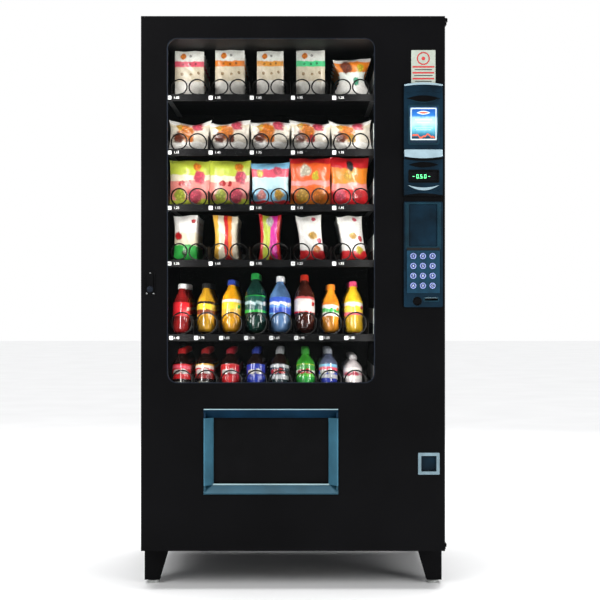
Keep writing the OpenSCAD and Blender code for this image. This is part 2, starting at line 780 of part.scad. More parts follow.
cabinet_shell();
insulation();
cabinet_liner();
legs();
levelling_feet();
top_hinge();
bottom_hinge();
tray_rails();
snack_trays();
drink_trays();
price_rails();
vend_motors();
snack_spirals();
drink_spirals();
air_duct();
evaporator();
compressor();
condenser();
cooling_deck();
rear_grille();
delivery_bin();
latch_strike();
light_strips();
control_box();
door_skin();
door_liner();
door_gasket();
window_glass();
window_trim();
delivery_frame();
control_column();
display_window();
picture_card();
keypad_plate();
bill_validator();
coin_changer();
coin_cup();
lock_plate();
lock_handle();
latch_cam();
delivery_flap();
coin_flap();
coin_return_button();
evaporator_fan();
condenser_fan();
spiral_left();
spiral_right();
snack_packs();
for (i = [0 : 11]) key(i);
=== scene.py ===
"""Looks of a glass-front snack and drink vending machine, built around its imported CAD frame.

Lengths in the calls below are millimetres in the frame of the CAD model: X to the right, Z up,
and the front of the machine towards -Y. The helpers turn them into metres.
"""
import json
import math
import random

import bpy
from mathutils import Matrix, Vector

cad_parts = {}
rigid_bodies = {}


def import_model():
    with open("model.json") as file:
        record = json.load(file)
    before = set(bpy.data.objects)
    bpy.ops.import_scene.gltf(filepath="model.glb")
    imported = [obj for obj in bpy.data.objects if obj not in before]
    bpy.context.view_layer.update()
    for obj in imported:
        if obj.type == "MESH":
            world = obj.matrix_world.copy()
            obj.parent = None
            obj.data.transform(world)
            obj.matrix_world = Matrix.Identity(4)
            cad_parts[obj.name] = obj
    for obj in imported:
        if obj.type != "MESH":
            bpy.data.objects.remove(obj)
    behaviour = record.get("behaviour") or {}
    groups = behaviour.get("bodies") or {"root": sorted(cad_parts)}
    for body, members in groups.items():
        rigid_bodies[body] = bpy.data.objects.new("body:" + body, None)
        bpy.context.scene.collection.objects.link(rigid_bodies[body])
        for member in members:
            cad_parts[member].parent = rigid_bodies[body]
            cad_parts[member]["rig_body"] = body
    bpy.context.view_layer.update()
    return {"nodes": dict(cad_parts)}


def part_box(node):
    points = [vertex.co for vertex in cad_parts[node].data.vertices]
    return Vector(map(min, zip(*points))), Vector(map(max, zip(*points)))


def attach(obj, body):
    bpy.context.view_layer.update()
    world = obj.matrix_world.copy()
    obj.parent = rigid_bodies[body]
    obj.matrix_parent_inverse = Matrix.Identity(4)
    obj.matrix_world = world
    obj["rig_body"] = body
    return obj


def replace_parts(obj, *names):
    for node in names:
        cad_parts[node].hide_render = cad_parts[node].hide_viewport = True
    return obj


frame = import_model()

MM = 0.001
FRONT = -460          # face of the door
DOOR_BACK = -348
CABINET_FRONT = -340
COLUMN_FACE = FRONT - 12


# ---------------------------------------------------------------- making pieces

def pick(piece):
    """Leaves this piece alone selected and active."""
    bpy.ops.object.select_all(action="DESELECT")
    piece.hide_viewport = False
    piece.select_set(True)
    bpy.context.view_layer.objects.active = piece


def apply_modifier(piece, kind, **settings):
    """Adds a modifier with its settings and applies it."""
    pick(piece)
    bpy.ops.object.modifier_add(type=kind)
    modifier = piece.modifiers[-1]
    for key, value in settings.items():
        setattr(modifier, key, value)
    bpy.ops.object.modifier_apply(modifier=modifier.name)


def settle(piece, name, body, finish, smooth=32, flats=True):
    """Names a finished piece, puts its place in its mesh, and hangs it on its body."""
    piece.name = name
    piece.data.name = name
    pick(piece)
    bpy.ops.object.transform_apply(location=True, rotation=True, scale=True)
    bpy.ops.object.shade_smooth_by_angle(angle=math.radians(smooth))
    if flats:
        apply_modifier(piece, "WEIGHTED_NORMAL", keep_sharp=True, weight=100)
    if finish is not None:
        piece.data.materials.clear()
        piece.data.materials.append(finish)
    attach(piece, body)
    return piece


def soften(piece, edge, steps=2):
    """Rounds the sharp edges, as a press brake or a mould leaves them."""
    apply_modifier(piece, "BEVEL", width=edge * MM, segments=steps, limit_method="ANGLE",
                   angle_limit=math.radians(30), use_clamp_overlap=True, harden_normals=False)


def block(name, low, high, body, finish, edge=0.8):
    """A box between two corners with rounded edges."""
    low, high = Vector(low) * MM, Vector(high) * MM
    bpy.ops.object.select_all(action="DESELECT")
    bpy.ops.mesh.primitive_cube_add(size=1, location=(low + high) / 2, scale=high - low)
    piece = bpy.context.object
    bpy.ops.object.transform_apply(location=False, rotation=False, scale=True)
    if edge:
        soften(piece, edge)
    return settle(piece, name, body, finish)


def rod(name, start, end, radius, body, finish, edge=0.5, sides=32):
    """A round bar from one point to another."""
    start, end = Vector(start) * MM, Vector(end) * MM
    along = end - start
    bpy.ops.object.select_all(action="DESELECT")
    bpy.ops.mesh.primitive_cylinder_add(vertices=sides, radius=radius * MM, depth=along.length,
                                        location=(start + end) / 2,
                                        rotation=along.to_track_quat("Z", "Y").to_euler())
    piece = bpy.context.object
    if edge:
        soften(piece, edge)
    return settle(piece, name, body, finish)


def plate(name, outline, y0, y1, body, finish, edge=0.8, smooth=32):
    """A flat shape drawn in X and Z, given depth from y0 to y1."""
    bpy.ops.object.select_all(action="DESELECT")
    bpy.ops.mesh.primitive_circle_add(vertices=len(outline), radius=1, fill_type="NGON")
    piece = bpy.context.object
    for vertex, (x, z) in zip(piece.data.vertices, outline):
        vertex.co = Vector((x, y0, z)) * MM
    bpy.ops.object.mode_set(mode="EDIT")
    bpy.ops.mesh.select_all(action="SELECT")
    bpy.ops.mesh.extrude_region_move(TRANSFORM_OT_translate={"value": (0, (y1 - y0) * MM, 0)})
    bpy.ops.mesh.select_all(action="SELECT")
    bpy.ops.mesh.normals_make_consistent(inside=False)
    bpy.ops.object.mode_set(mode="OBJECT")
    if edge:
        soften(piece, edge)
    return settle(piece, name, body, finish, smooth=smooth)


def rounded(x0, x1, z0, z1, r, steps=6):
    """Outline of a rectangle with round corners."""
    corners = [(x1 - r, z1 - r, 0), (x0 + r, z1 - r, 90), (x0 + r, z0 + r, 180), (x1 - r, z0 + r, 270)]
    outline = []
    for cx, cz, start in corners:
        for k in range(steps + 1):
            angle = math.radians(start + 90 * k / steps)
            outline.append((cx + r * math.cos(angle), cz + r * math.sin(angle)))
    return outline


def bowed(x0, x1, z0, z1, top=0.0, bottom=0.0, steps=16):
    """Outline of a strip whose top and bottom edges bow by so much at the middle."""
    span = [k / steps for k in range(steps + 1)]
    upper = [(x1 + (x0 - x1) * t, z1 + top * (1 - (2 * t - 1) ** 2)) for t in span]
    lower = [(x0 + (x1 - x0) * t, z0 + bottom * (1 - (2 * t - 1) ** 2)) for t in span]
    return upper + lower


def finished(node, finish, edge=0.8, steps=2, smooth=32, name=None):
    """The CAD node with merged faces and rounded edges, shown in place of the plain one."""
    source = frame["nodes"][node]
    pick(source)
    bpy.ops.object.duplicate()
    piece = bpy.context.object
    piece.parent = None
    for key in list(piece.keys()):
        del piece[key]
    bpy.ops.object.mode_set(mode="EDIT")
    bpy.ops.mesh.select_all(action="SELECT")
    bpy.ops.mesh.remove_doubles(threshold=0.000005)
    bpy.ops.mesh.dissolve_limited(angle_limit=math.radians(0.5))
    bpy.ops.object.mode_set(mode="OBJECT")
    if edge:
        soften(piece, edge, steps)
    settle(piece, name or node + "_finished", source["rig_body"], finish, smooth)
    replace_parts(piece, node)
    return piece


def join(pieces, name):
    """Makes several loose pieces of one body into one."""
    body = pieces[0]["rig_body"]
    bpy.ops.object.select_all(action="DESELECT")
    for piece in pieces:
        piece.select_set(True)
    bpy.context.view_layer.objects.active = pieces[0]
    bpy.ops.object.join()
    whole = bpy.context.object
    whole.name = name
    whole.data.name = name
    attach(whole, body)
    return whole


def copies(piece, shifts, name):
    """Copies of a piece, each with its own mesh moved by a shift, joined into one with the first."""
    made = [piece]
    for shift in shifts:
        pick(piece)
        bpy.ops.object.duplicate()
        again = bpy.context.object
        again.parent = None
        again.location = Vector(shift) * MM
        bpy.ops.object.transform_apply(location=True, rotation=False, scale=False)
        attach(again, piece["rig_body"])
        made.append(again)
    return join(made, name) if len(made) > 1 else piece


# ---------------------------------------------------------------- finishes

def new_finish(name, colour, rough, metal=0.0, coat=0.0):
    """A node material and its shader, with the plain values set."""
    made = bpy.data.materials.new(name)
    made.use_nodes = True
    shader = made.node_tree.nodes["Principled BSDF"]
    shader.inputs["Base Color"].default_value = (*colour, 1)
    shader.inputs["Roughness"].default_value = rough
    shader.inputs["Metallic"].default_value = metal
    shader.inputs["Coat Weight"].default_value = coat
    shader.inputs["Coat Roughness"].default_value = 0.08
    return made, shader


def node(made, kind, **values):
    """Adds a node; values name its properties or its input sockets."""
    added = made.node_tree.nodes.new(kind)
    for key, value in values.items():
        if hasattr(added, key) and key not in added.inputs:
            setattr(added, key, value)
        else:
            added.inputs[key.replace("_", " ")].default_value = value
    return added


def wire(made, out, into):
    """Links an output to an input."""
    made.node_tree.links.new(out, into)


def place(made, stretch=(1, 1, 1), source="Object"):
    """Coordinates of the piece, scaled."""
    coords = node(made, "ShaderNodeTexCoord")
    mapping = node(made, "ShaderNodeMapping")
    mapping.inputs["Scale"].default_value = stretch
    wire(made, coords.outputs[source], mapping.inputs["Vector"])
    return mapping.outputs["Vector"]


def ramp(made, factor, stops, blend="LINEAR"):
    """Colour stops over a factor."""
    scale = node(made, "ShaderNodeValToRGB")
    scale.color_ramp.interpolation = blend
    marks = scale.color_ramp.elements
    marks[0].position, marks[0].color = stops[0][0], (*stops[0][1], 1)
    marks[1].position, marks[1].color = stops[-1][0], (*stops[-1][1], 1)
    for position, colour in stops[1:-1]:
        marks.new(position).color = (*colour, 1)
    wire(made, factor, scale.inputs["Fac"])
    return scale.outputs["Color"]


def spread(made, factor, low, high):
    """Maps a factor from 0..1 to low..high."""
    span = node(made, "ShaderNodeMapRange")
    span.inputs["To Min"].default_value = low
    span.inputs["To Max"].default_value = high
    wire(made, factor, span.inputs["Value"])
    return span.outputs["Result"]


def noise(made, vector, scale, detail=3.0):
    """A cloudy pattern over a vector, from 0 to 1."""
    cloud = node(made, "ShaderNodeTexNoise", Scale=scale, Detail=detail)
    wire(made, vector, cloud.inputs["Vector"])
    return cloud.outputs["Fac"]


def bump(made, shader, height, strength, distance=0.0005):
    """Relief from a height, wired to the shader."""
    relief = node(made, "ShaderNodeBump", Strength=strength, Distance=distance)
    wire(made, height, relief.inputs["Height"])
    wire(made, relief.outputs["Normal"], shader.inputs["Normal"])


def tint(colour, by):
    """A colour made lighter or darker by a factor."""
    return tuple(min(1, max(0, c * by)) for c in colour)


def surface(name, colour, rough, metal=0.0, coat=0.0, shade=0.15, patch=5.0, grain=900.0,
            relief=0.15, stretch=(1, 1, 1), uneven=0.06, shine=0.5):
    """A finish with slow drifts of tone and gloss and a fine grain.

    Stretch draws the grain out, as brushing does. Shine is the strength of the plain reflection.
    """
    made, shader = new_finish(name, colour, rough, metal, coat)
    shader.inputs["Specular IOR Level"].default_value = shine
    drift = noise(made, place(made), patch, 4.0)
    wire(made, ramp(made, drift, [(0.3, tint(colour, 1 - shade)), (0.7, tint(colour, 1 + shade))]),
         shader.inputs["Base Color"])
    fine = noise(made, place(made, stretch), grain, 2.0)
    both = node(made, "ShaderNodeMath", operation="ADD")
    wire(made, drift, both.inputs[0])
    wire(made, fine, both.inputs[1])
    half = node(made, "ShaderNodeMath", operation="MULTIPLY")
    half.inputs[1].default_value = 0.5
    wire(made, both.outputs[0], half.inputs[0])
    wire(made, spread(made, half.outputs[0], rough - uneven, rough + uneven), shader.inputs["Roughness"])
    bump(made, shader, fine, relief)
    return made


def spangled(name, colour, rough):
    """Galvanised sheet, with its crystals."""
    made, shader = new_finish(name, colour, rough, 0.85)
    crystal = node(made, "ShaderNodeTexVoronoi", Scale=110.0)
    wire(made, place(made), crystal.inputs["Vector"])
    tone = node(made, "ShaderNodeSeparateColor")
    wire(made, crystal.outputs["Color"], tone.inputs["Color"])
    wire(made, ramp(made, tone.outputs["Red"], [(0, tint(colour, 0.75)), (1, tint(colour, 1.2))]),
         shader.inputs["Base Color"])
    wire(made, spread(made, tone.outputs["Green"], rough - 0.1, rough + 0.12), shader.inputs["Roughness"])
    bump(made, shader, tone.outputs["Blue"], 0.05)
    return made


def glowing(name, colour, strength):
    """A lit diffuser, a little brighter in the middle of its pattern."""
    made, shader = new_finish(name, colour, 0.4)
    cells = noise(made, place(made), 260.0, 1.0)
    wire(made, ramp(made, cells, [(0.2, tint(colour, 0.85)), (0.8, colour)]), shader.inputs["Emission Color"])
    shader.inputs["Emission Strength"].default_value = strength
    return made


def clear(name, colour, alpha, rough=0.03):
    """Clear glass, with faint wiping marks in its gloss."""
    made, shader = new_finish(name, colour, rough)
    shader.inputs["Alpha"].default_value = alpha
    shader.inputs["IOR"].default_value = 1.5
    smear = noise(made, place(made, (1, 1, 0.25)), 9.0, 5.0)
    wire(made, spread(made, smear, rough, rough + 0.06), shader.inputs["Roughness"])
    return made


def foam(name, colour):
    """Rigid foam, with its cells."""
    made, shader = new_finish(name, colour, 0.9)
    cell = node(made, "ShaderNodeTexVoronoi", Scale=420.0)
    wire(made, place(made), cell.inputs["Vector"])
    wire(made, ramp(made, cell.outputs["Distance"], [(0, tint(colour, 0.7)), (0.5, colour)]),
         shader.inputs["Base Color"])
    bump(made, shader, cell.outputs["Distance"], 0.6, 0.001)
    return made


POWDER = surface("black_powder_coat", (0.0022, 0.0022, 0.0026), 0.40, shade=0.3, patch=3.0, grain=1400.0,
                 relief=0.22, uneven=0.06, shine=0.045)
LINER = surface("liner_sheet", (0.0021, 0.0021, 0.0024), 0.6, shade=0.3, grain=900.0, relief=0.12,
                shine=0.08)
TRAY = surface("tray_sheet", (0.0027, 0.0027, 0.003), 0.55, shade=0.3, grain=1100.0, relief=0.18,
               shine=0.08)
ZINC = surface("zinc_plate", (0.42, 0.43, 0.42), 0.35, metal=0.9, shade=0.2, patch=30.0, grain=700.0)
GALVANISED = spangled("galvanised_sheet", (0.42, 0.44, 0.45), 0.42)
COIL_WIRE = surface("dark_wire", (0.005, 0.0045, 0.004), 0.45, shade=0.3, patch=60.0, grain=1500.0,
                    shine=0.25)
RAIL = surface("rail_plastic", (0.0024, 0.0024, 0.0027), 0.5, shade=0.25, patch=20.0, grain=600.0,
               shine=0.08)
MOTOR = surface("motor_plastic", (0.62, 0.62, 0.58), 0.5, shade=0.08, patch=25.0, grain=800.0)
FINS = surface("fin_aluminium", (0.55, 0.57, 0.58), 0.4, metal=0.9, shade=0.2, patch=40.0, grain=500.0,
               stretch=(1, 1, 0.1))
IRON = surface("painted_iron", (0.012, 0.012, 0.013), 0.45, shade=0.3, patch=25.0, grain=500.0, relief=0.4)
RUBBER = surface("seal_rubber", (0.02, 0.02, 0.021), 0.7, shade=0.2, patch=40.0, grain=500.0, relief=0.3)
TRIM = surface("trim_aluminium", (0.018, 0.023, 0.034), 0.34, metal=0.8, shade=0.15, grain=900.0,
               stretch=(1, 1, 0.05), shine=0.25)
# Painted light and shade: the delivery frame's slate metal comes in three tones. The top bar, whose face
# slopes down, is painted in shade; the bottom bar is painted lighter and the uprights lightest, as if lit.
SLATE_SHADED = surface("slate_bar_top_painted_shade", (0.0040, 0.024, 0.052), 0.36, metal=0.3, shade=0.4, patch=9.0,
                    grain=700.0, relief=0.25, stretch=(0.04, 1, 1), shine=0.15)
SLATE = surface("slate_bar_bottom", (0.018, 0.065, 0.095), 0.36, metal=0.3, shade=0.25, patch=9.0,
                grain=700.0, relief=0.25, stretch=(0.04, 1, 1), shine=0.25)
SLATE_LIT = surface("slate_bar_upright_painted_light", (0.038, 0.13, 0.19), 0.36, metal=0.3, shade=0.3, patch=9.0,
                   grain=700.0, relief=0.25, stretch=(1, 1, 0.04), shine=0.3)
# Painted highlight: a pale tone for the bright lines along the delivery frame's edges.
HIGHLIGHT_PAINT = surface("painted_highlight_lip", (0.315, 0.462, 0.49), 0.3, metal=0.4, shade=0.15, patch=12.0, grain=900.0,
                 stretch=(0.05, 1, 1))
TEAL = surface("teal_moulding", (0.0019, 0.0125, 0.024), 0.38, shade=0.5, patch=14.0, grain=1000.0,
               relief=0.3, shine=0.09)
TEAL_BED = surface("teal_bed", (0.0035, 0.023, 0.037), 0.42, shade=0.4, patch=14.0, grain=1000.0,
                   relief=0.4, shine=0.11)
# The silver tone of the real silver band. It also serves as painted highlight on the column's top lip, under
# the display and along the coin slot.
SILVER_AND_HIGHLIGHT = surface("silver_band_and_painted_highlight", (0.315, 0.435, 0.495), 0.32, metal=0.25, coat=0.3, shade=0.15, patch=25.0,
                 grain=1200.0)
SCREEN = surface("smoked_window", (0.002, 0.002, 0.003), 0.15, coat=0.2, shade=0.2, grain=200.0,
                 relief=0.02, shine=0.25)
PAD = surface("keypad_bed", (0.006, 0.036, 0.066), 0.45, shade=0.25, patch=30.0, grain=900.0, relief=0.3,
              shine=0.11)
KEY_RING = surface("key_ring", (0.306, 0.374, 0.731), 0.3, metal=0.1, coat=0.4, shade=0.2, patch=160.0,
                   grain=900.0)
KEY_TOP = surface("key_top", (0.030, 0.050, 0.16), 0.3, shade=0.2, patch=80.0, grain=900.0)
UNIT = surface("unit_plastic", (0.03, 0.032, 0.036), 0.48, shade=0.2, patch=14.0, grain=900.0, relief=0.3)
GLOSS = surface("black_moulding", (0.0021, 0.0021, 0.00245), 0.32, shade=0.3, patch=14.0, grain=700.0,
                relief=0.1, shine=0.06)
CUP = surface("cup_metal", (0.17, 0.25, 0.29), 0.32, metal=0.5, shade=0.2, patch=18.0, grain=800.0,
              stretch=(1, 1, 0.06))
TUBE = glowing("tube_diffuser", (1.0, 0.98, 0.95), 2.0)
GLASS = clear("window_glass", (0.01, 0.012, 0.012), 0.03)
FOAM = foam("rigid_foam", (0.62, 0.52, 0.30))
LABEL = surface("label_card", (0.85, 0.86, 0.85), 0.5, shade=0.05, patch=60.0, grain=500.0)
INK = surface("black_ink", (0.004, 0.004, 0.004), 0.5, shade=0.05, patch=60.0, grain=500.0, shine=0.2)
GUARD = surface("guard_edge", (0.30, 0.34, 0.32), 0.4, metal=0.3, shade=0.3, patch=30.0, grain=700.0)
FIGURES = glowing("lit_figures", (0.15, 1.0, 0.35), 4.0)
PLATE = surface("plate_paint", (0.36, 0.40, 0.34), 0.45, shade=0.08, patch=30.0, grain=700.0)
RED_INK = surface("red_ink", (0.45, 0.02, 0.02), 0.5, shade=0.12, patch=60.0, grain=700.0)
CARD_PALE = glowing("card_pale", (0.55, 0.68, 0.72), 0.45)
CARD_RED = glowing("card_red", (0.62, 0.09, 0.04), 0.45)
KEY_MARK = surface("key_mark", (0.75, 0.82, 0.90), 0.4, shade=0.06, patch=60.0, grain=700.0)


# ---------------------------------------------------------------- cabinet

def dress_cabinet():
    """The cabinet's CAD pieces with rounded edges and their finishes. Hidden ones keep their plain mesh."""
    finished("cabinet_shell", POWDER, 1.2)
    finished("legs", POWDER, 0.6)
    finished("top_hinge", POWDER, 0.8)
    finished("bottom_hinge", POWDER, 0.6)
    finished("levelling_feet", ZINC, 0.8)
    finished("latch_strike", ZINC, 0.4)
    finished("rear_grille", POWDER, 0.5, steps=1)
    finished("delivery_bin", LINER, 0.5)
    finished("tray_rails", GALVANISED, 0.3, steps=1)
    finished("cooling_deck", GALVANISED, 0.6)
    finished("control_box", GALVANISED, 0.5)
    finished("compressor", IRON, 3.0, steps=3, smooth=40)
    for name, look in {"cabinet_liner": LINER, "insulation": FOAM, "snack_trays": TRAY, "drink_trays": TRAY,
                       "vend_motors": MOTOR, "air_duct": LINER, "evaporator": FINS,
                       "condenser": FINS, "evaporator_fan": MOTOR, "condenser_fan": MOTOR}.items():
        bare = frame["nodes"][name]
        bare.data.materials.clear()
        bare.data.materials.append(look)


def screw(name, at, facing, body, size=4.5):
    """A pan-head screw with a cross recess, standing on a face."""
    at, facing = Vector(at), Vector(facing)
    head = rod(name, at, at + facing * size * 0.5, size, body, ZINC, edge=size * 0.22, sides=20)
    side = facing.orthogonal().normalized()
    up = facing.cross(side)
    marks = []
    for i, across in enumerate((side, up)):
        other = up if i == 0 else side
        low = at + facing * size * 0.48 - across * size * 0.5 - other * size * 0.1
        high = at + facing * size * 0.52 + across * size * 0.5 + other * size * 0.1
        marks.append(block(name + "_mark", [min(a, b) for a, b in zip(low, high)],
                           [max(a, b) for a, b in zip(low, high)], body, INK, edge=0))
    return join([head] + marks, name)


def screws_on_cabinet():
    """Rows of screws where the sheets meet, round the back and along the liner's flange."""
    first = screw("back_screw", (-470, 460, 200), (0, 1, 0), "cabinet")
    shifts = [(x, 0, z) for z in range(0, 1601, 200) for x in (0, 940) if (x, z) != (0, 0)]
    copies(first, shifts, "back_screws")
    row = screw("back_row_screw", (-305, 460, 200), (0, 1, 0), "cabinet")
    copies(row, [(0, 0, 270), (610, 0, 0), (610, 0, 270), (0, 0, 135), (610, 0, 135)], "grille_screws")
    flange = screw("flange_screw", (-466, CABINET_FRONT, 430), (0, -1, 0), "cabinet", 3.6)
    copies(flange, [(0, 0, z) for z in (220, 440, 740, 960, 1180, 1360)], "flange_screws")


def light_tubes():
    """Slim tubes in channels down both jambs of the product compartment."""
    pieces = []
    for side, x, inward in (("left", -432, 1), ("right", 278, -1)):
        channel = block("lamp_channel_" + side, (min(x - 2 * inward, x + 3 * inward), -327, 688),
                        (max(x - 2 * inward, x + 3 * inward), -305, 1772), "cabinet", GALVANISED, 0.5)
        tube = rod("lamp_tube_" + side, (x + 6 * inward, -316, 694), (x + 6 * inward, -316, 1766),
                   3.6, "cabinet", TUBE, edge=0.8, sides=20)
        pieces += [channel, tube]
    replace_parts(pieces[0], "light_strips")


# ---------------------------------------------------------------- trays

SNACK_FLOORS = (1627, 1442, 1255, 1067)
DRINK_FLOORS = (816, 619)
SNACK_LANES = [-80 + (i - 2) * 139 for i in range(5)]
DRINK_LANES = [-84 + (i - 3.5) * 84.5 for i in range(8)]
TRAY_FRONT = -215
COIL_FRONT, COIL_BACK = -210, 322
SNACK_R, DRINK_R, WIRE_R = 28.5, 36.5, 2.5
COIL_GAP = 64
DRIVEN = 2


def coil(name, x, z, radius, turns, hand, body, sides=8, steps=22):
    """A wire spiral: a ring of wire turned and drawn along its axis, with rounded ends."""
    bpy.ops.object.select_all(action="DESELECT")
    bpy.ops.mesh.primitive_circle_add(vertices=sides, radius=WIRE_R * MM, fill_type="NOTHING",
                                      location=(0, 0, -radius * MM), rotation=(0, math.radians(90), 0))
    piece = bpy.context.object
    bpy.ops.object.transform_apply(location=True, rotation=True, scale=True)
    apply_modifier(piece, "SCREW", axis="Y", angle=-hand * 2 * math.pi * turns,
                   screw_offset=(COIL_BACK - COIL_FRONT) * MM, steps=int(steps * turns),
                   render_steps=int(steps * turns), use_merge_vertices=False)
    bpy.ops.object.mode_set(mode="EDIT")
    bpy.ops.mesh.select_all(action="DESELECT")
    bpy.ops.mesh.select_non_manifold()
    bpy.ops.mesh.edge_face_add()
    bpy.ops.mesh.select_all(action="SELECT")
    bpy.ops.mesh.normals_make_consistent(inside=False)
    bpy.ops.object.mode_set(mode="OBJECT")
    piece.location = (x * MM, COIL_FRONT * MM, z * MM)
    return settle(piece, name, body, COIL_WIRE, smooth=60, flats=False)


def all_coils():
    """The still coils of every tray, and the driven pair with their discs and shafts."""
    z = SNACK_R + WIRE_R + 1
    base_x, base_z = SNACK_LANES[0], SNACK_FLOORS[0]
    still = []
    for hand, side in ((1, -1), (-1, 1)):
        first = coil("snack_coil", base_x + side * COIL_GAP / 2, base_z + z, SNACK_R, 6, hand, "cabinet")
        shifts = [(x - base_x, 0, floor - base_z) for t, floor in enumerate(SNACK_FLOORS)
                  for i, x in enumerate(SNACK_LANES) if (t, i) not in ((0, 0), (0, DRIVEN))]
        still.append(copies(first, shifts, "snack_coils_%s" % ("left" if side < 0 else "right")))
    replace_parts(still[0], "snack_spirals")
    drink_z = DRINK_FLOORS[0] + DRINK_R + WIRE_R + 1
    first = coil("drink_coil", DRINK_LANES[0], drink_z, DRINK_R, 7, 1, "cabinet")
    shifts = [(x - DRINK_LANES[0], 0, floor - DRINK_FLOORS[0]) for floor in DRINK_FLOORS
              for x in DRINK_LANES if (x, floor) != (DRINK_LANES[0], DRINK_FLOORS[0])]
    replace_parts(copies(first, shifts, "drink_coils"), "drink_spirals")
    for body, hand, side in (("spiral_left", 1, -1), ("spiral_right", -1, 1)):
        x = SNACK_LANES[DRIVEN] + side * COIL_GAP / 2
        axis = SNACK_FLOORS[0] + z
        wire_piece = coil(body + "_wire", x, axis, SNACK_R, 6, hand, body, sides=10, steps=32)
        disc = rod(body + "_disc", (x, COIL_BACK - 1, axis), (x, COIL_BACK + 3, axis), 30.5, body, MOTOR,
                   edge=1.0, sides=40)
        shaft = rod(body + "_shaft", (x, COIL_BACK + 2, axis), (x, 356, axis), 4, body, ZINC, edge=0.4)
        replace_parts(wire_piece, body)


def price_rails():
    """Black extruded rails along the tray fronts, with a square number tag at each lane and a price tag at
    each lane above the lowest tray.
    """
    finished("price_rails", RAIL, 0.4, steps=1)
    tags = []
    for t, floor in enumerate(SNACK_FLOORS + DRINK_FLOORS):
        lanes, width = (SNACK_LANES, 139) if t < 4 else (DRINK_LANES, 84.5)
        for i, x in enumerate(lanes):
            left = x - width / 2 + 3
            y, z = TRAY_FRONT - 6.2, floor - 9
            tags.append(plate("tag", rounded(left, left + 13, z - 6.5, z + 6.5, 1.5, 3), y - 0.6, y + 1.6,
                              "cabinet", LABEL, 0.3))
            number = digits("number", str(10 * (t + 1) + i), (left + 6.5, y - 0.75, z), 7.5, "cabinet", INK)
            tags.append(number)
            if t < 5:
                small = 16 if t < 4 else 14
                at = left + (20 if t < 4 else 16)
                tags.append(digits("price", "1.%d5" % ((3 * i + t) % 10), (at + small / 2 + 2, y - 0.6, z),
                                   8.5, "cabinet", LABEL))
    join(tags, "lane_tags")
    for n, floor in enumerate(SNACK_FLOORS[1:] + DRINK_FLOORS[:1]):
        edge = block("guard_edge_%d" % n, (270.5, TRAY_FRONT + 4, floor + 2),
                     (273.4, TRAY_FRONT + 10, floor + 90), "cabinet", GUARD, 0.6)


def digits(name, figures, at, height, body, finish, thick=0.3):
    """Plain figures standing up and facing the front."""
    bpy.ops.object.select_all(action="DESELECT")
    bpy.ops.object.text_add(location=Vector(at) * MM, rotation=(math.radians(90), 0, 0))
    piece = bpy.context.object
    piece.data.body = figures
    piece.data.align_x = "CENTER"
    piece.data.align_y = "CENTER"
    piece.data.size = height * MM * 1.35
    piece.data.extrude = thick * MM / 2
    piece.data.resolution_u = 2
    bpy.ops.object.convert(target="MESH")
    return settle(bpy.context.object, name, body, finish)


# ---------------------------------------------------------------- door

def dress_door():
    """The door's CAD pieces with rounded edges and their finishes."""
    finished("door_skin", POWDER, 1.6, steps=3)
    finished("door_liner", LINER, 0.6)
    finished("bill_validator", UNIT, 1.5)
    finished("coin_changer", UNIT, 1.2)
    finished("coin_cup", CUP, 1.0, steps=3)
    finished("lock_plate", GLOSS, 0.8)
    finished("latch_cam", ZINC, 0.4)
    finished("delivery_flap", GLOSS, 0.8)
    finished("window_trim", TRIM, 0.5)
    finished("coin_flap", TEAL, 0.5)
    pane = frame["nodes"]["window_glass"]
    pane.data.materials.clear()
    pane.data.materials.append(GLASS)


def door_seal():
    """Magnetic seal: a soft bulb all round, with two grooves where it folds."""
    outer = rounded(-445, 291, 315, 1811, 8)
    piece = seal_ring("door_gasket_ribbed", outer, "door", RUBBER)
    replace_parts(piece, "door_gasket")


def seal_ring(name, outline, body, finish):
    """A ribbed section carried round an outline in X and Z."""
    cx = sum(x for x, _ in outline) / len(outline)
    cz = sum(z for _, z in outline) / len(outline)
    section = [(0, -7.8), (0, -5.2), (1.2, -4.6), (0, -4.0), (0.6, -0.8), (3, 0), (7, 0), (9.4, -0.8),
               (10, -4.0), (8.8, -4.6), (10, -5.2), (10, -7.8)]
    bpy.ops.object.select_all(action="DESELECT")
    bpy.ops.mesh.primitive_grid_add(x_subdivisions=len(outline), y_subdivisions=len(section), size=1)
    piece = bpy.context.object
    across = len(outline) + 1
    for i, vertex in enumerate(piece.data.vertices):
        x, z = outline[(i % across) % len(outline)]
        inset, depth = section[(i // across) % len(section)]
        sx = -1 if x > cx else 1
        sz = -1 if z > cz else 1
        vertex.co = Vector((x + sx * inset, CABINET_FRONT + depth, z + sz * inset)) * MM
    bpy.ops.object.mode_set(mode="EDIT")
    bpy.ops.mesh.select_all(action="SELECT")
    bpy.ops.mesh.remove_doubles(threshold=0.00001)
    bpy.ops.mesh.normals_make_consistent(inside=False)
    bpy.ops.object.mode_set(mode="OBJECT")
    return settle(piece, name, body, finish, smooth=50)


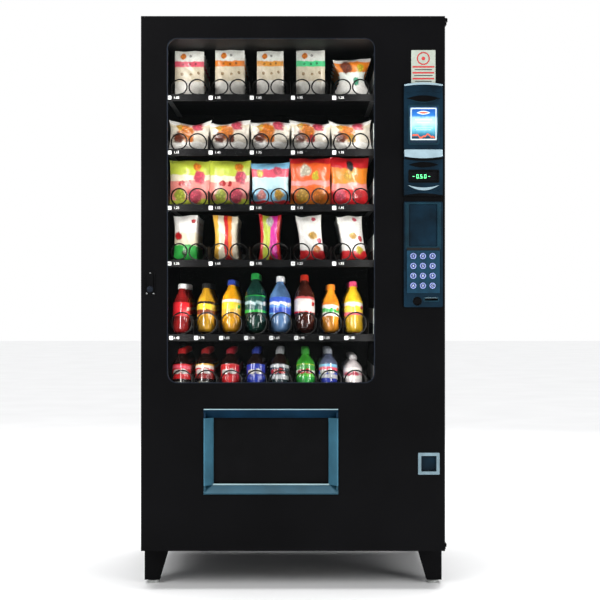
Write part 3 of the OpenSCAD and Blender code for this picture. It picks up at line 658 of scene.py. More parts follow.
def wedge_bar(name, outer, inner, run, level, body, finish):
    """One bar of the delivery frame. Its face slopes from the outer edge in to the opening."""
    sign = 1 if inner > outer else -1
    section = [(outer, FRONT), (outer, FRONT - 8.5), (outer + sign * 1.5, FRONT - 10),
               (outer + sign * 4.5, FRONT - 10), (inner - sign * 1.5, FRONT + 17), (inner, FRONT + 19),
               (inner, FRONT + 30), (outer + sign * 5, FRONT + 30), (outer + sign * 5, FRONT)]
    if sign < 0:
        section = section[::-1]
    bpy.ops.object.select_all(action="DESELECT")
    bpy.ops.mesh.primitive_circle_add(vertices=len(section), radius=1, fill_type="NGON")
    piece = bpy.context.object
    for vertex, (across, y) in zip(piece.data.vertices, section):
        vertex.co = Vector((run[0], y, across) if level else (across, y, run[0])) * MM
    length = (run[1] - run[0]) * MM
    bpy.ops.object.mode_set(mode="EDIT")
    bpy.ops.mesh.select_all(action="SELECT")
    bpy.ops.mesh.extrude_region_move(
        TRANSFORM_OT_translate={"value": (length, 0, 0) if level else (0, 0, length)})
    bpy.ops.mesh.select_all(action="SELECT")
    bpy.ops.mesh.normals_make_consistent(inside=False)
    bpy.ops.object.mode_set(mode="OBJECT")
    soften(piece, 0.5)
    return settle(piece, name, body, finish)


def delivery_frame():
    """Four butt-jointed bars: the top and bottom ones run the full width, the sides stand between them."""
    x0, x1, z0, z1, w = -288, 146, 309, 585, 31
    # The top bar and its end pieces take the painted-shade tone, and the uprights take the painted-light
    # tone.
    bars = [wedge_bar("delivery_bar_top", z1, z1 - w, (x0, x1), True, "door", SLATE_SHADED),
            wedge_bar("delivery_bar_bottom", z0, z0 + w, (x0, x1), True, "door", SLATE),
            wedge_bar("delivery_bar_left", x0, x0 + w, (z0 + w - 3, z1 - w), False, "door", SLATE_LIT),
            wedge_bar("delivery_bar_right", x1, x1 - w, (z0 + w - 3, z1 - w), False, "door", SLATE_LIT)]
    # Painted highlights: bright strips along the top bar's upper edge and along the bottom bar's inner lip.
    block("delivery_top_edge_highlight", (x0 + 1, FRONT - 10.6, z1 - 3.4), (x1 - 1, FRONT - 8, z1 - 0.4), "door",
          HIGHLIGHT_PAINT, 0.5)
    block("delivery_lip_highlight", (x0 + w - 2, FRONT + 12.5, z0 + w - 3.2), (x1 - w + 2, FRONT + 21, z0 + w + 1.4),
          "door", HIGHLIGHT_PAINT, 0.6)
    for x, side in ((x0 + 6, "left"), (x1 - 18, "right")):
        block("flap_ear_" + side, (x, FRONT + 29, 555), (x + 12, FRONT + 31.5, 573), "door", SLATE, 0.6)
    for x, side in ((x0 + 0.4, "left"), (x1 - 6.4, "right")):
        block("bar_end_top_" + side, (x, FRONT - 1.2, z1 - w), (x + 6, FRONT + 2, z1 - 5), "door",
                      SLATE_SHADED, 0.3)
        block("bar_end_bottom_" + side, (x, FRONT - 1.2, z0 + 5), (x + 6, FRONT + 2, z0 + w), "door",
                      SLATE, 0.3)
    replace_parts(bars[0], "delivery_frame")
    for x, side in ((x0 + 6, "left"), (x1 - 18, "right")):
        ear = ear_with_bore("flap_bearing_" + side, x, x + 12, -424, 564, 9, 4.05, "door", SLATE)


def ear_with_bore(name, x0, x1, y, z, half, bore, body, finish):
    """A bearing block round a rod that runs along X."""
    bpy.ops.object.select_all(action="DESELECT")
    bpy.ops.mesh.primitive_cylinder_add(vertices=4, radius=half * math.sqrt(2) * MM, depth=(x1 - x0) * MM,
                                        location=((x0 + x1) / 2 * MM, y * MM, z * MM),
                                        rotation=(math.radians(45), math.radians(90), 0))
    piece = bpy.context.object
    bpy.ops.object.transform_apply(location=True, rotation=True, scale=True)
    bpy.ops.mesh.primitive_cylinder_add(vertices=32, radius=bore * MM, depth=(x1 - x0 + 6) * MM,
                                        location=((x0 + x1) / 2 * MM, y * MM, z * MM),
                                        rotation=(0, math.radians(90), 0))
    drill = bpy.context.object
    apply_modifier(piece, "BOOLEAN", object=drill, operation="DIFFERENCE", solver="EXACT")
    bpy.data.objects.remove(drill)
    soften(piece, 0.5, 1)
    return settle(piece, name, body, finish)


# ---------------------------------------------------------------- control column

def lens(cx, cz, w, h, steps=20):
    """Outline of a pointed lens."""
    r = (w * w / 4 + h * h / 4) / h
    half = math.asin(w / 2 / r)
    top = [(cx + r * math.sin(a), cz + h / 2 - r + r * math.cos(a))
           for a in [half - 2 * half * k / steps for k in range(steps + 1)]]
    return top + [(x, 2 * cz - z) for x, z in reversed(top[1:-1])]


def crescent(cx, cz, w, h, thick, steps=20):
    """Outline of a smile: the lower edge bows more than the upper one."""
    span = [k / steps for k in range(steps + 1)]
    lower = [(cx - w / 2 + w * t, cz + h / 2 - h * (1 - (2 * t - 1) ** 2)) for t in span]
    upper = [(cx + w / 2 - w * t, cz + h / 2 - (h - thick) * (1 - (2 * t - 1) ** 2)) for t in span]
    return lower + upper[1:-1]


def control_column():
    """The moulding's parts: bill head, bright band, display pod and keypad bed."""
    finished("control_column", TEAL, 1.6, steps=3)
    x0, x1 = 357, 482
    mid = (x0 + x1) / 2
    face = COLUMN_FACE
    # painted highlight along the head's top lip: a bright rim, bowed like a brow
    plate("head_rim_highlight", bowed(x0 + 1, x1 - 1, 1622.5, 1628, top=6.5, bottom=5.0), face - 2.2, face + 8, "door",
          SILVER_AND_HIGHLIGHT, 1.2)
    plate("head_crown", bowed(x0 + 1.5, x1 - 1.5, 1600, 1623, top=4.5, bottom=6), face - 1.4, face + 2,
          "door", TEAL, 1.2)
    # scoop under the crown; its dark floor is a black lens of painted shade under the brow
    plate("head_scoop", lens(mid, 1582.5, 108, 21), face - 1.0, face + 3.5, "door", GLOSS, 1.0)
    plate("head_scoop_lip", crescent(mid, 1577, 108, 15, 2.6), face - 2.2, face + 1, "door", TEAL_BED, 0.5)
    # surround of the lit card
    frame_of("card_surround", rounded(370, 471, 1434, 1562, 6), rounded(376, 465, 1440, 1556, 3),
             face - 1.8, face + 2, "door", TEAL_BED, 0.7)
    # bright band with a bowed lower edge
    plate("bright_band", bowed(x0 + 1, x1 - 1, 1396, 1419, top=0, bottom=-5.5), face - 4.3, face + 4, "door",
          SILVER_AND_HIGHLIGHT, 2.0)
    plate("band_shadow", bowed(x0 + 3, x1 - 3, 1388, 1394.5, top=-5.0, bottom=-5.5), face - 3.2, face + 2,
          "door", GLOSS, 0.5)
    # display pod
    # black lens of painted shade under the pod's brow
    plate("pod_scoop", lens(mid, 1370, 94, 17), face - 1.0, face + 3.5, "door", GLOSS, 1.0)
    frame_of("display_surround", rounded(371, 470, 1312, 1354, 4), rounded(376, 465, 1317, 1349, 2),
             face - 1.6, face + 2, "door", GLOSS, 0.7)
    # painted highlight: a bright crescent under the display
    plate("pod_smile_highlight", crescent(mid, 1296, 102, 17, 9), face - 4.4, face + 2, "door", SILVER_AND_HIGHLIGHT, 1.0)
    # painted shade: a dark strip along the pod's arched lower edge
    plate("pod_arch_shade", bowed(x0 + 2, x1 - 2, 1268, 1271, top=7), face - 2.4, face + 2, "door", GLOSS, 0.5)
    plate("pod_chin", bowed(x0 + 2, x1 - 2, 1272, 1290, top=-6, bottom=3.5), face - 1.6, face + 2, "door",
          TEAL, 1.2)
    # black plate of painted shade in the gap between pod and bed
    plate("bed_gap_shade", rounded(x0 + 2, x1 - 2, 1252, 1269, 2), FRONT - 5, FRONT - 2, "door", GLOSS, 0.6)
    # bed: recessed blank, and a frame round it
    frame_of("blank_surround", rounded(x0 + 4, x1 - 6, 1098, 1249, 4), rounded(373, 464, 1107, 1243, 3),
             face + 0.6, face + 4, "door", TEAL_BED, 1.0)
    plate("blank_panel", rounded(372.5, 464.5, 1106.5, 1243.5, 3), FRONT - 5.4, FRONT - 3, "door", TEAL, 0.5)
    # painted shade: a black line standing for the groove between the blank and the keypad
    plate("bed_groove_shade", rounded(x0 + 9, x1 - 10, 1095, 1103.5, 1.2, 2), face - 0.2, face + 4, "door", INK, 0.3)


def frame_of(name, outer, inner, y0, y1, body, finish, edge):
    """A flat ring between two outlines with the same number of corners."""
    bpy.ops.object.select_all(action="DESELECT")
    bpy.ops.mesh.primitive_circle_add(vertices=len(outer), radius=1, fill_type="NOTHING")
    piece = bpy.context.object
    for vertex, (x, z) in zip(piece.data.vertices, outer):
        vertex.co = Vector((x, y0, z)) * MM
    bpy.ops.object.mode_set(mode="EDIT")
    bpy.ops.mesh.select_all(action="SELECT")
    bpy.ops.mesh.extrude_region_move(TRANSFORM_OT_translate={"value": (0, 0, 0)})
    bpy.ops.object.mode_set(mode="OBJECT")
    for vertex, (x, z) in zip(list(piece.data.vertices)[len(outer):], inner):
        vertex.co = Vector((x, y0, z)) * MM
    bpy.ops.object.mode_set(mode="EDIT")
    bpy.ops.mesh.select_all(action="SELECT")
    bpy.ops.mesh.extrude_region_move(TRANSFORM_OT_translate={"value": (0, (y1 - y0) * MM, 0)})
    bpy.ops.mesh.select_all(action="SELECT")
    bpy.ops.mesh.normals_make_consistent(inside=False)
    bpy.ops.object.mode_set(mode="OBJECT")
    soften(piece, edge)
    return settle(piece, name, body, finish)


def display():
    """Smoked window with lit seven-bar figures."""
    finished("display_window", SCREEN, 0.8)
    strokes = {"0": "abcdef", "5": "acdfg", "1": "bc", "-": "g"}
    bars = []
    for n, figure in enumerate("-0.50-"):
        left, base, w, h, t = 385 + n * 12.5, 1327, 6.4, 12, 1.2
        y0, y1 = FRONT - 4.5, FRONT - 3.4
        if figure == ".":
            bars.append(block("bar", (left - 4.4, y0, base), (left - 3, y1, base + 1.4), "door", FIGURES, 0))
            continue
        spots = {"a": (0, h - t, w, h), "g": (0, h / 2 - t / 2, w, h / 2 + t / 2), "d": (0, 0, w, t),
                 "b": (w - t, h / 2, w, h), "c": (w - t, 0, w, h / 2), "f": (0, h / 2, t, h),
                 "e": (0, 0, t, h / 2)}
        shift = -12.5 if n > 2 else 0
        for stroke in strokes[figure]:
            a, b, c, d = spots[stroke]
            bars.append(block("bar", (left + shift + a + 0.15, y0, base + b + 0.15),
                              (left + shift + c - 0.15, y1, base + d - 0.15), "door", FIGURES, 0.15))
    join(bars, "display_figures")


def keypad():
    """The bed and twelve round dished keys with rings and figures, each on its own body."""
    finished("keypad_plate", PAD, 0.6)
    names = ["key_star", "key_0", "key_hash", "key_7", "key_8", "key_9", "key_4", "key_5", "key_6",
             "key_1", "key_2", "key_3"]
    marks = ["A", "0", "C", "7", "8", "9", "4", "5", "6", "1", "2", "3"]
    for i, (name, mark) in enumerate(zip(names, marks)):
        x, z = 386.5 + (i % 3) * 31, 981 + (i // 3) * 31.7
        cap = finished(name, KEY_TOP, 0.5, steps=3, name=name + "_cap")
        pick(cap)
        for face in cap.data.polygons:
            face.select = face.normal.y < -0.95 and face.center.y < (COLUMN_FACE - 4.4) * MM
        bpy.ops.object.mode_set(mode="EDIT")
        bpy.ops.mesh.inset(thickness=1.0 * MM, depth=0)
        bpy.ops.transform.translate(value=(0, 1.3 * MM, 0))
        bpy.ops.object.mode_set(mode="OBJECT")
        ring = ring_round(name + "_ring", (x, COLUMN_FACE - 3.1, z), 8.3, 1.7, name, KEY_RING)
        digits(name + "_mark", mark, (x, COLUMN_FACE - 3.3, z), 7.6, name, KEY_MARK, 0.6)


def ring_round(name, at, radius, thick, body, finish):
    """A round wire ring facing the front, flattened a little."""
    bpy.ops.object.select_all(action="DESELECT")
    bpy.ops.mesh.primitive_torus_add(location=Vector(at) * MM, rotation=(math.radians(90), 0, 0),
                                     major_segments=40, minor_segments=12, major_radius=radius * MM,
                                     minor_radius=thick * MM)
    piece = bpy.context.object
    piece.scale = (1, 1, 0.8)
    return settle(piece, name, body, finish, smooth=80, flats=False)


def coin_row():
    """The round return button and the coin slot beside it."""
    finished("coin_return_button", GLOSS, 0.8, steps=3)
    ring_round("return_bezel", (400, COLUMN_FACE + 1.2, 931), 12.6, 1.6, "door", GLOSS)
    frame_of("slot_bezel", rounded(419, 470, 929, 945, 4), rounded(424, 466, 933.2, 940.8, 2),
             COLUMN_FACE + 0.6, COLUMN_FACE + 4, "door", TEAL_BED, 0.8)
    block("slot_glint", (426, COLUMN_FACE + 0.2, 941.2), (464, COLUMN_FACE + 1.0, 942.2), "door", SILVER_AND_HIGHLIGHT, 0.2)


def picture_card():
    """The lit card behind its window, with a pale rim, a soft badge, bars and a warm ribbon at its foot."""
    finished("picture_card", CARD, 0.5)
    y = FRONT - 4.1
    bits = [frame_of("card_rim", rounded(378, 463, 1450, 1554, 3), rounded(382.5, 458.5, 1454, 1550, 2),
                     y - 0.3, y + 1, "door", CARD_PALE, 0.2),
            plate("card_badge", lens(420, 1538, 44, 12), y - 0.3, y + 1, "door", CARD_PALE, 0.2),
            plate("card_badge_core", lens(420, 1538, 32, 6), y - 0.5, y + 1, "door", CARD_RED, 0.2)]
    for z, w, t in ((1516, 54, 5), (1507, 40, 3), (1489, 58, 1.6), (1483, 48, 1.6)):
        bits.append(block("card_bar", (420.5 - w / 2, y - 0.3, z - t / 2), (420.5 + w / 2, y + 1, z + t / 2),
                          "door", CARD_PALE, 0.2))
    crest = [(384 + 6 * k, 1460 + 5 * math.sin(0.95 * k) + 2.5 * math.sin(2.3 * k + 1)) for k in range(13)]
    ribbon = [(x, z + 5.5) for x, z in reversed(crest)] + [(x, z) for x, z in crest]
    bits.append(plate("card_ribbon", ribbon, y - 0.3, y + 1, "door", CARD_RED, 0.2))
    join(bits, "card_picture")


def info_plate():
    """Plate above the column: a plain ring with a dot, over plain bars."""
    x0, x1, z0, z1 = 381, 459, 1634, 1740
    y = FRONT
    base = plate("info_plate", rounded(x0, x1, z0, z1, 2), y - 1.6, y, "door", PLATE, 0.4)
    x, z = (x0 + x1) / 2, z1 - 27
    ring = ring_round("info_ring", (x, y - 1.9, z), 19, 2.0, "door", RED_INK)
    dot = rod("info_dot", (x, y - 2.1, z), (x, y - 1.5, z), 6, "door", RED_INK, edge=0.2)
    bits = [base, dot, ring]
    for z, w, ink in ((1686, 70, RED_INK), (1667, 70, RED_INK), (1648, 70, RED_INK), (1677, 56, INK),
                      (1658, 60, INK), (1639.5, 54, INK)):
        tall = 2.6 if ink is RED_INK else 1.3
        bits.append(block("info_stripe", (x - w / 2, y - 2.0, z - tall), (x + w / 2, y - 1.5, z + tall),
                          "door", ink, 0.2))
    whole = join(bits, "info_plate")


def lock():
    """The lock's handle with its ring, core and slit, and the plate's screws."""
    finished("lock_handle", GLOSS, 1.6, steps=3, smooth=45)
    x, z = -460, 970
    ring_round("lock_ring", (x, FRONT - 11, z), 8.5, 1.2, "handle", TRIM)
    key_face = rod("lock_core", (x, FRONT - 12.2, z), (x, FRONT - 10.5, z), 6.5, "handle", TRIM, 0.4)
    slit = block("lock_slit", (x - 0.8, FRONT - 12.5, z - 4.5), (x + 0.8, FRONT - 12.0, z + 4.5), "handle",
                 INK, 0.1)
    join([key_face, slit], "lock_core")
    screws = [screw("lock_screw", (x + dx, FRONT - 3, z), (0, -1, 0), "door", 2.4)
              for dx, z in ((-11, 956), (11, 956), (0, 1021))]
    join(screws, "lock_screws")


def door_inside():
    """Screws round the inner door."""
    first = screw("liner_screw", (-476, DOOR_BACK, 180), (0, 1, 0), "door", 3.6)
    lock_side = [(0, 0, z) for z in (240, 480, 1000, 1240, 1480, 1620)]
    hinge_side = [(938, 0, z) for z in (0, 240, 1520, 1620)]
    foot_and_head = [(x, 0, z) for z in (0, 1640) for x in (300, 620)]
    copies(first, lock_side + hinge_side + foot_and_head, "liner_screws")


# ---------------------------------------------------------------- goods

def printed(name, bands, spots=(), crinkle=1.0, gloss=0.3, coat=0.3, across=False, streak=0.25,
            warp=0.22, tall=1.0):
    """Printed film. Bands run up the pack, or across it, and spots are soft blobs at (u, v, size, colour)."""
    made, shader = new_finish(name, (0.8, 0.8, 0.8), gloss, coat=coat)
    flat = node(made, "ShaderNodeTexCoord").outputs["UV"]
    drift = node(made, "ShaderNodeTexNoise", Scale=5.0, Detail=4.0)
    wire(made, flat, drift.inputs["Vector"])
    centred = node(made, "ShaderNodeVectorMath", operation="SUBTRACT")
    centred.inputs[1].default_value = (0.5, 0.5, 0.5)
    wire(made, drift.outputs["Color"], centred.inputs[0])
    warped = node(made, "ShaderNodeVectorMath", operation="MULTIPLY_ADD")
    warped.inputs[1].default_value = (warp, warp * 0.6, 0)
    wire(made, centred.outputs["Vector"], warped.inputs[0])
    wire(made, flat, warped.inputs[2])
    uv = warped.outputs["Vector"]
    split = node(made, "ShaderNodeSeparateXYZ")
    wire(made, uv, split.inputs["Vector"])
    stops = [(bands[0][0], bands[0][1])]
    for before, after in zip(bands, bands[1:]):
        stops += [(max(after[0] - 0.010, 0), before[1]), (min(after[0] + 0.010, 1), after[1])]
    stops.append((1.0, bands[-1][1]))
    colour = ramp(made, split.outputs["X" if across else "Y"], stops)
    grains = node(made, "ShaderNodeTexVoronoi", Scale=16.0)
    wire(made, flat, grains.inputs["Vector"])
    crumb = grains.outputs["Distance"]
    even = node(made, "ShaderNodeVectorMath", operation="MULTIPLY")
    even.inputs[1].default_value = (1, tall, 0)
    wire(made, uv, even.inputs[0])
    for u, v, size, spot in spots:
        gap = node(made, "ShaderNodeVectorMath", operation="DISTANCE")
        gap.inputs[1].default_value = (u, v * tall, 0)
        wire(made, even.outputs["Vector"], gap.inputs[0])
        soft = node(made, "ShaderNodeMapRange")
        soft.inputs["From Min"].default_value = size
        soft.inputs["From Max"].default_value = size * 0.7
        wire(made, gap.outputs["Value"], soft.inputs["Value"])
        over = node(made, "ShaderNodeMix", data_type="RGBA")
        wire(made, soft.outputs["Result"], over.inputs["Factor"])
        wire(made, colour, over.inputs[6])
        wire(made, ramp(made, crumb, [(0.05, tint(spot, 1.15)), (0.55, tint(spot, 0.55))]), over.inputs[7])
        colour = over.outputs[2]
    fleck = noise(made, uv, 9.0, 5.0)
    worn = node(made, "ShaderNodeMix", data_type="RGBA", blend_type="MULTIPLY")
    worn.inputs["Factor"].default_value = streak
    wire(made, colour, worn.inputs[6])
    wire(made, ramp(made, fleck, [(0.35, (0.55, 0.5, 0.45)), (0.6, (1, 1, 1))]), worn.inputs[7])
    wire(made, worn.outputs[2], shader.inputs["Base Color"])
    if crinkle:
        fold = noise(made, place(made, (1, 1, 0.5)), 55.0, 4.0)
        level = node(made, "ShaderNodeSeparateXYZ")
        wire(made, flat, level.inputs["Vector"])
        seal = ramp(made, level.outputs["Y"], [(0.0, (1, 1, 1)), (0.045, (0, 0, 0)), (0.955, (0, 0, 0)),
                                               (1.0, (1, 1, 1))], "CONSTANT")
        teeth = node(made, "ShaderNodeTexWave", Scale=14.0)
        wire(made, flat, teeth.inputs["Vector"])
        crimp = node(made, "ShaderNodeMath", operation="MULTIPLY")
        wire(made, seal, crimp.inputs[0])
        wire(made, teeth.outputs["Fac"], crimp.inputs[1])
        relief = node(made, "ShaderNodeMath", operation="ADD")
        wire(made, fold, relief.inputs[0])
        wire(made, crimp.outputs[0], relief.inputs[1])
        bump(made, shader, relief.outputs[0], 0.5 * crinkle, 0.004)
    return made


def cushion(name, x, y, z, w, h, t, body, finish, seed, lean=0.0, twist=0.0, pinch=0.10, box=0.0, ears=0.0,
            cuts=(14, 18)):
    """A sealed film pack standing on its lower seal: two sheets bulged apart, crimped at both ends."""
    chance = random.Random(seed)
    waves = [(chance.uniform(2, 7), chance.uniform(2, 7), chance.uniform(0, 6.28), chance.uniform(-1, 1))
             for _ in range(7)]
    halves = []
    for side in (-1, 1):
        bpy.ops.object.select_all(action="DESELECT")
        bpy.ops.mesh.primitive_grid_add(x_subdivisions=cuts[0], y_subdivisions=cuts[1], size=1, calc_uvs=True)
        half = bpy.context.object
        for vertex in half.data.vertices:
            u, v = vertex.co.x, vertex.co.y
            ends = min(1.0, (0.5 - abs(v)) / 0.16)
            belly = max(0.0, math.cos(math.pi * u)) ** (0.55 - 0.3 * box)
            belly *= math.sin(ends * math.pi / 2) ** 0.9
            ripple = sum(a * math.sin(p * 3.1 * u + q * 3.7 * v + c) for p, q, c, a in waves) * 0.9
            seam = abs(v) > 0.5 - 0.035
            waist = 1 - pinch * (1 - math.cos(math.pi * v) ** 2 if box else math.cos(math.pi * v) ** 2)
            px = u * w * waist + twist * v * w
            py = side * (t / 2 * belly + 0.4)
            py += 0.8 * math.sin(26 * u) if seam else ripple * (0.35 + belly)
            pz = v * h + (1.2 * math.sin(9 * u + seed) if seam else 0)
            corner = (abs(2 * u) ** 5) * (abs(2 * v) ** 4)
            px += math.copysign(ears * corner, u)
            if v > 0:
                pz += ears * (0.9 * corner + 0.8 * math.sin(5 * u + 1.7 * seed)) * 2 * v
            py += (pz + h / 2) * lean
            vertex.co = Vector((x + px, y + py, z + h / 2 + pz)) * MM
        halves.append(half)
    bpy.ops.object.select_all(action="DESELECT")
    for half in halves:
        half.select_set(True)
    bpy.context.view_layer.objects.active = halves[0]
    bpy.ops.object.join()
    piece = bpy.context.object
    bpy.ops.object.mode_set(mode="EDIT")
    bpy.ops.mesh.select_all(action="DESELECT")
    bpy.ops.mesh.select_non_manifold()
    bpy.ops.mesh.remove_doubles(threshold=1.7 * MM)
    bpy.ops.mesh.select_all(action="SELECT")
    bpy.ops.mesh.normals_make_consistent(inside=False)
    bpy.ops.object.mode_set(mode="OBJECT")
    return settle(piece, name, body, finish, smooth=70, flats=False)


def turned(name, rings, at, lean, body, finishes, sides=28, spin=0.0):
    """A turned form from rings of (height, radius, finish number), leaned back about its foot."""
    bpy.ops.object.select_all(action="DESELECT")
    bpy.ops.mesh.primitive_circle_add(vertices=sides, radius=rings[0][1] * MM, fill_type="NGON",
                                      location=(0, 0, rings[0][0] * MM))
    piece = bpy.context.object
    bpy.ops.object.transform_apply(location=True, rotation=True, scale=True)
    bpy.ops.object.mode_set(mode="EDIT")
    bpy.ops.mesh.select_all(action="SELECT")
    bpy.ops.mesh.select_mode(type="FACE")
    height, radius = rings[0][0], rings[0][1]
    for ring in rings[1:]:
        bpy.ops.mesh.extrude_region_move(TRANSFORM_OT_translate={"value": (0, 0, (ring[0] - height) * MM)})
        scale = ring[1] / radius
        bpy.ops.transform.resize(value=(scale, scale, 1), center_override=(0, 0, ring[0] * MM))
        height, radius = ring[0], ring[1]
    bpy.ops.mesh.select_all(action="SELECT")
    bpy.ops.mesh.normals_make_consistent(inside=False)
    bpy.ops.uv.cylinder_project(direction="ALIGN_TO_OBJECT", scale_to_bounds=True)
    bpy.ops.mesh.select_mode(type="VERT")
    bpy.ops.object.mode_set(mode="OBJECT")
    piece.data.materials.clear()
    for finish in finishes:
        piece.data.materials.append(finish)
    levels = [(a[0] * MM + b[0] * MM) / 2 for a, b in zip(rings, rings[1:])]
    for face in piece.data.polygons:
        z = face.center.z
        if abs(face.normal.z) > 0.99 and len(face.vertices) > 4:
            face.material_index = rings[0][2] if z < levels[0] else rings[-1][2]
        else:
            nearest = min(range(len(levels)), key=lambda k: abs(levels[k] - z))
            face.material_index = rings[nearest + 1][2]
    piece.rotation_euler = (-math.radians(lean), 0, math.radians(spin))
    piece.location = Vector(at) * MM
    return settle(piece, name, body, None, smooth=50, flats=False)


def repeat_back(piece, steps, pitch, name):
    """The same goods again behind the first, one pitch apart."""
    return copies(piece, [(0, pitch * k, 0) for k in range(1, steps)], name)


SNACK_PITCH = (COIL_BACK - COIL_FRONT) / 6
DRINK_PITCH = (COIL_BACK - COIL_FRONT) / 7

CREAM = (0.78, 0.70, 0.52)
WHITE = (0.85, 0.84, 0.80)
PINK = (0.80, 0.10, 0.16)
RED = (0.62, 0.015, 0.02)
ORANGE = (0.85, 0.24, 0.02)
AMBER = (0.75, 0.42, 0.05)
YELLOW = (0.80, 0.62, 0.04)
LIME = (0.52, 0.60, 0.06)
GREEN = (0.03, 0.42, 0.06)
MINT = (0.08, 0.72, 0.28)
SKY = (0.25, 0.60, 0.85)
BLUE = (0.02, 0.05, 0.45)
BROWN = (0.20, 0.04, 0.015)
SALMON = (0.85, 0.28, 0.24)
MAGENTA = (0.72, 0.03, 0.36)
SILVERY = (0.55, 0.57, 0.60)


def carton_print(name, band):
    """A carton: pale, with a band of colour, a round mark and small brown pieces."""
    mark, crumb = tint(band, 0.6), (0.45, 0.30, 0.16)
    return printed(name, [(0, (0.80, 0.78, 0.72)), (0.33, (0.70, 0.62, 0.46)), (0.65, tint(band, 0.9)),
                          (0.77, (0.80, 0.82, 0.76))],
                   [(0.30, 0.88, 0.12, ORANGE), (0.55, 0.89, 0.06, tint(WHITE, 0.55)),
                    (0.28, 0.71, 0.05, mark), (0.50, 0.71, 0.06, mark), (0.72, 0.71, 0.05, mark),
                    (0.25, 0.50, 0.07, crumb), (0.55, 0.48, 0.06, (0.50, 0.34, 0.18)),
                    (0.80, 0.52, 0.06, crumb)],
                   crinkle=0.35, gloss=0.35, streak=0.35, warp=0.10, tall=1.6)


def cartons():
    """Top row: four cartons and a wrapped salad. The third lane is the one that turns."""
    salad = printed("wrap_salad", [(0, WHITE), (0.42, (0.75, 0.80, 0.74)), (0.66, ORANGE), (0.93, WHITE)],
                    [(0.30, 0.80, 0.20, BROWN), (0.66, 0.40, 0.13, (0.05, 0.45, 0.25)),
                     (0.78, 0.75, 0.12, YELLOW)])
    return [(100, 158, 20, carton_print("carton_pink", PINK), 0.0, 0.02, 0, 0.6),
            (101, 162, 20, carton_print("carton_orange", ORANGE), 0.0, 0.02, 0, 0.6),
            (91, 151, 16, carton_print("carton_amber", (0.85, 0.36, 0.05)), 0.0, 0, 0, 0.6),
            (99, 161, 20, carton_print("carton_mint", MINT), 0.0, 0.02, 0, 0.6),
            (122, 128, 34, salad, 0.33, 0.03, 0, 0)]


def rolls():
    """Second row: low wrapped rolls."""
    bands = [(0, WHITE), (0.30, (0.80, 0.74, 0.62)), (0.78, CREAM), (0.90, WHITE)]
    row = []
    for i, (tone, sway) in enumerate(((ORANGE, 0.05), (BROWN, -0.04), (ORANGE, 0.04), (RED, 0.0),
                                      (AMBER, -0.06))):
        spots = [(0.40, 0.68, 0.24, ORANGE), (0.22, 0.46, 0.17, BROWN), (0.52, 0.42, 0.12, tone),
                 (0.70, 0.86, 0.15, PINK), (0.24, 0.84, 0.10, AMBER), (0.44, 0.20, 0.08, WHITE)]
        look = printed("roll_wrap_%d" % i, bands, spots, streak=0.5, warp=0.35, tall=0.72)
        row.append((134, 96, 34, look, 0.02, 0.06, sway, 0))
    return row


def lime_print(name, aside, pale, lime):
    """One of the two lime bags. Aside shifts its spots; pale and lime are where those bands start."""
    return printed(name, [(0, LIME), (0.12, SALMON), (pale, CREAM), (lime, LIME)],
                   [(0.74 + aside, 0.62, 0.17, (0.80, 0.08, 0.14)), (0.62 + aside, 0.20, 0.20, PINK),
                    (0.25 + 0.75 * aside, 0.24, 0.17, LIME), (0.30 + aside / 2, 0.50, 0.08, RED),
                    (0.48 + aside / 2, 0.47, 0.07, RED), (0.70 + aside, 0.86, 0.11, ORANGE)])


def crisps():
    """Third row: big crisp bags."""
    blue = printed("crisp_blue", [(0, RED), (0.10, SKY), (0.36, (0.55, 0.80, 0.85)), (0.66, PINK),
                                  (0.86, SKY)],
                   [(0.26, 0.24, 0.15, SALMON), (0.74, 0.24, 0.15, AMBER), (0.22, 0.76, 0.12, YELLOW),
                    (0.70, 0.80, 0.13, PINK)])
    orange = printed("crisp_orange", [(0, ORANGE), (0.10, (0.85, 0.14, 0.02)), (0.42, SALMON),
                                      (0.52, (0.85, 0.12, 0.02)), (0.90, RED)],
                     [(0.30, 0.22, 0.19, AMBER), (0.72, 0.22, 0.19, ORANGE), (0.36, 0.74, 0.15, CREAM),
                      (0.62, 0.62, 0.12, YELLOW)])
    red = printed("crisp_red", [(0, RED), (0.32, SALMON), (0.46, ORANGE), (0.78, RED)],
                  [(0.27, 0.21, 0.16, PINK), (0.72, 0.21, 0.16, RED), (0.50, 0.62, 0.18, AMBER),
                   (0.52, 0.84, 0.12, (0.02, 0.02, 0.02))])
    return [(138, 152, 38, lime_print("crisp_lime_1", 0, 0.55, 0.68), 0.02, 0.04, 0, 0),
            (138, 152, 38, lime_print("crisp_lime_2", 0.04, 0.52, 0.66), 0.02, 0.04, 0.02, 0),
            (130, 144, 36, blue, 0.06, 0.04, 0, 0),
            (140, 160, 40, orange, 0.05, 0.04, 0, 0),
            (132, 162, 38, red, 0.10, 0.04, 0, 0)]


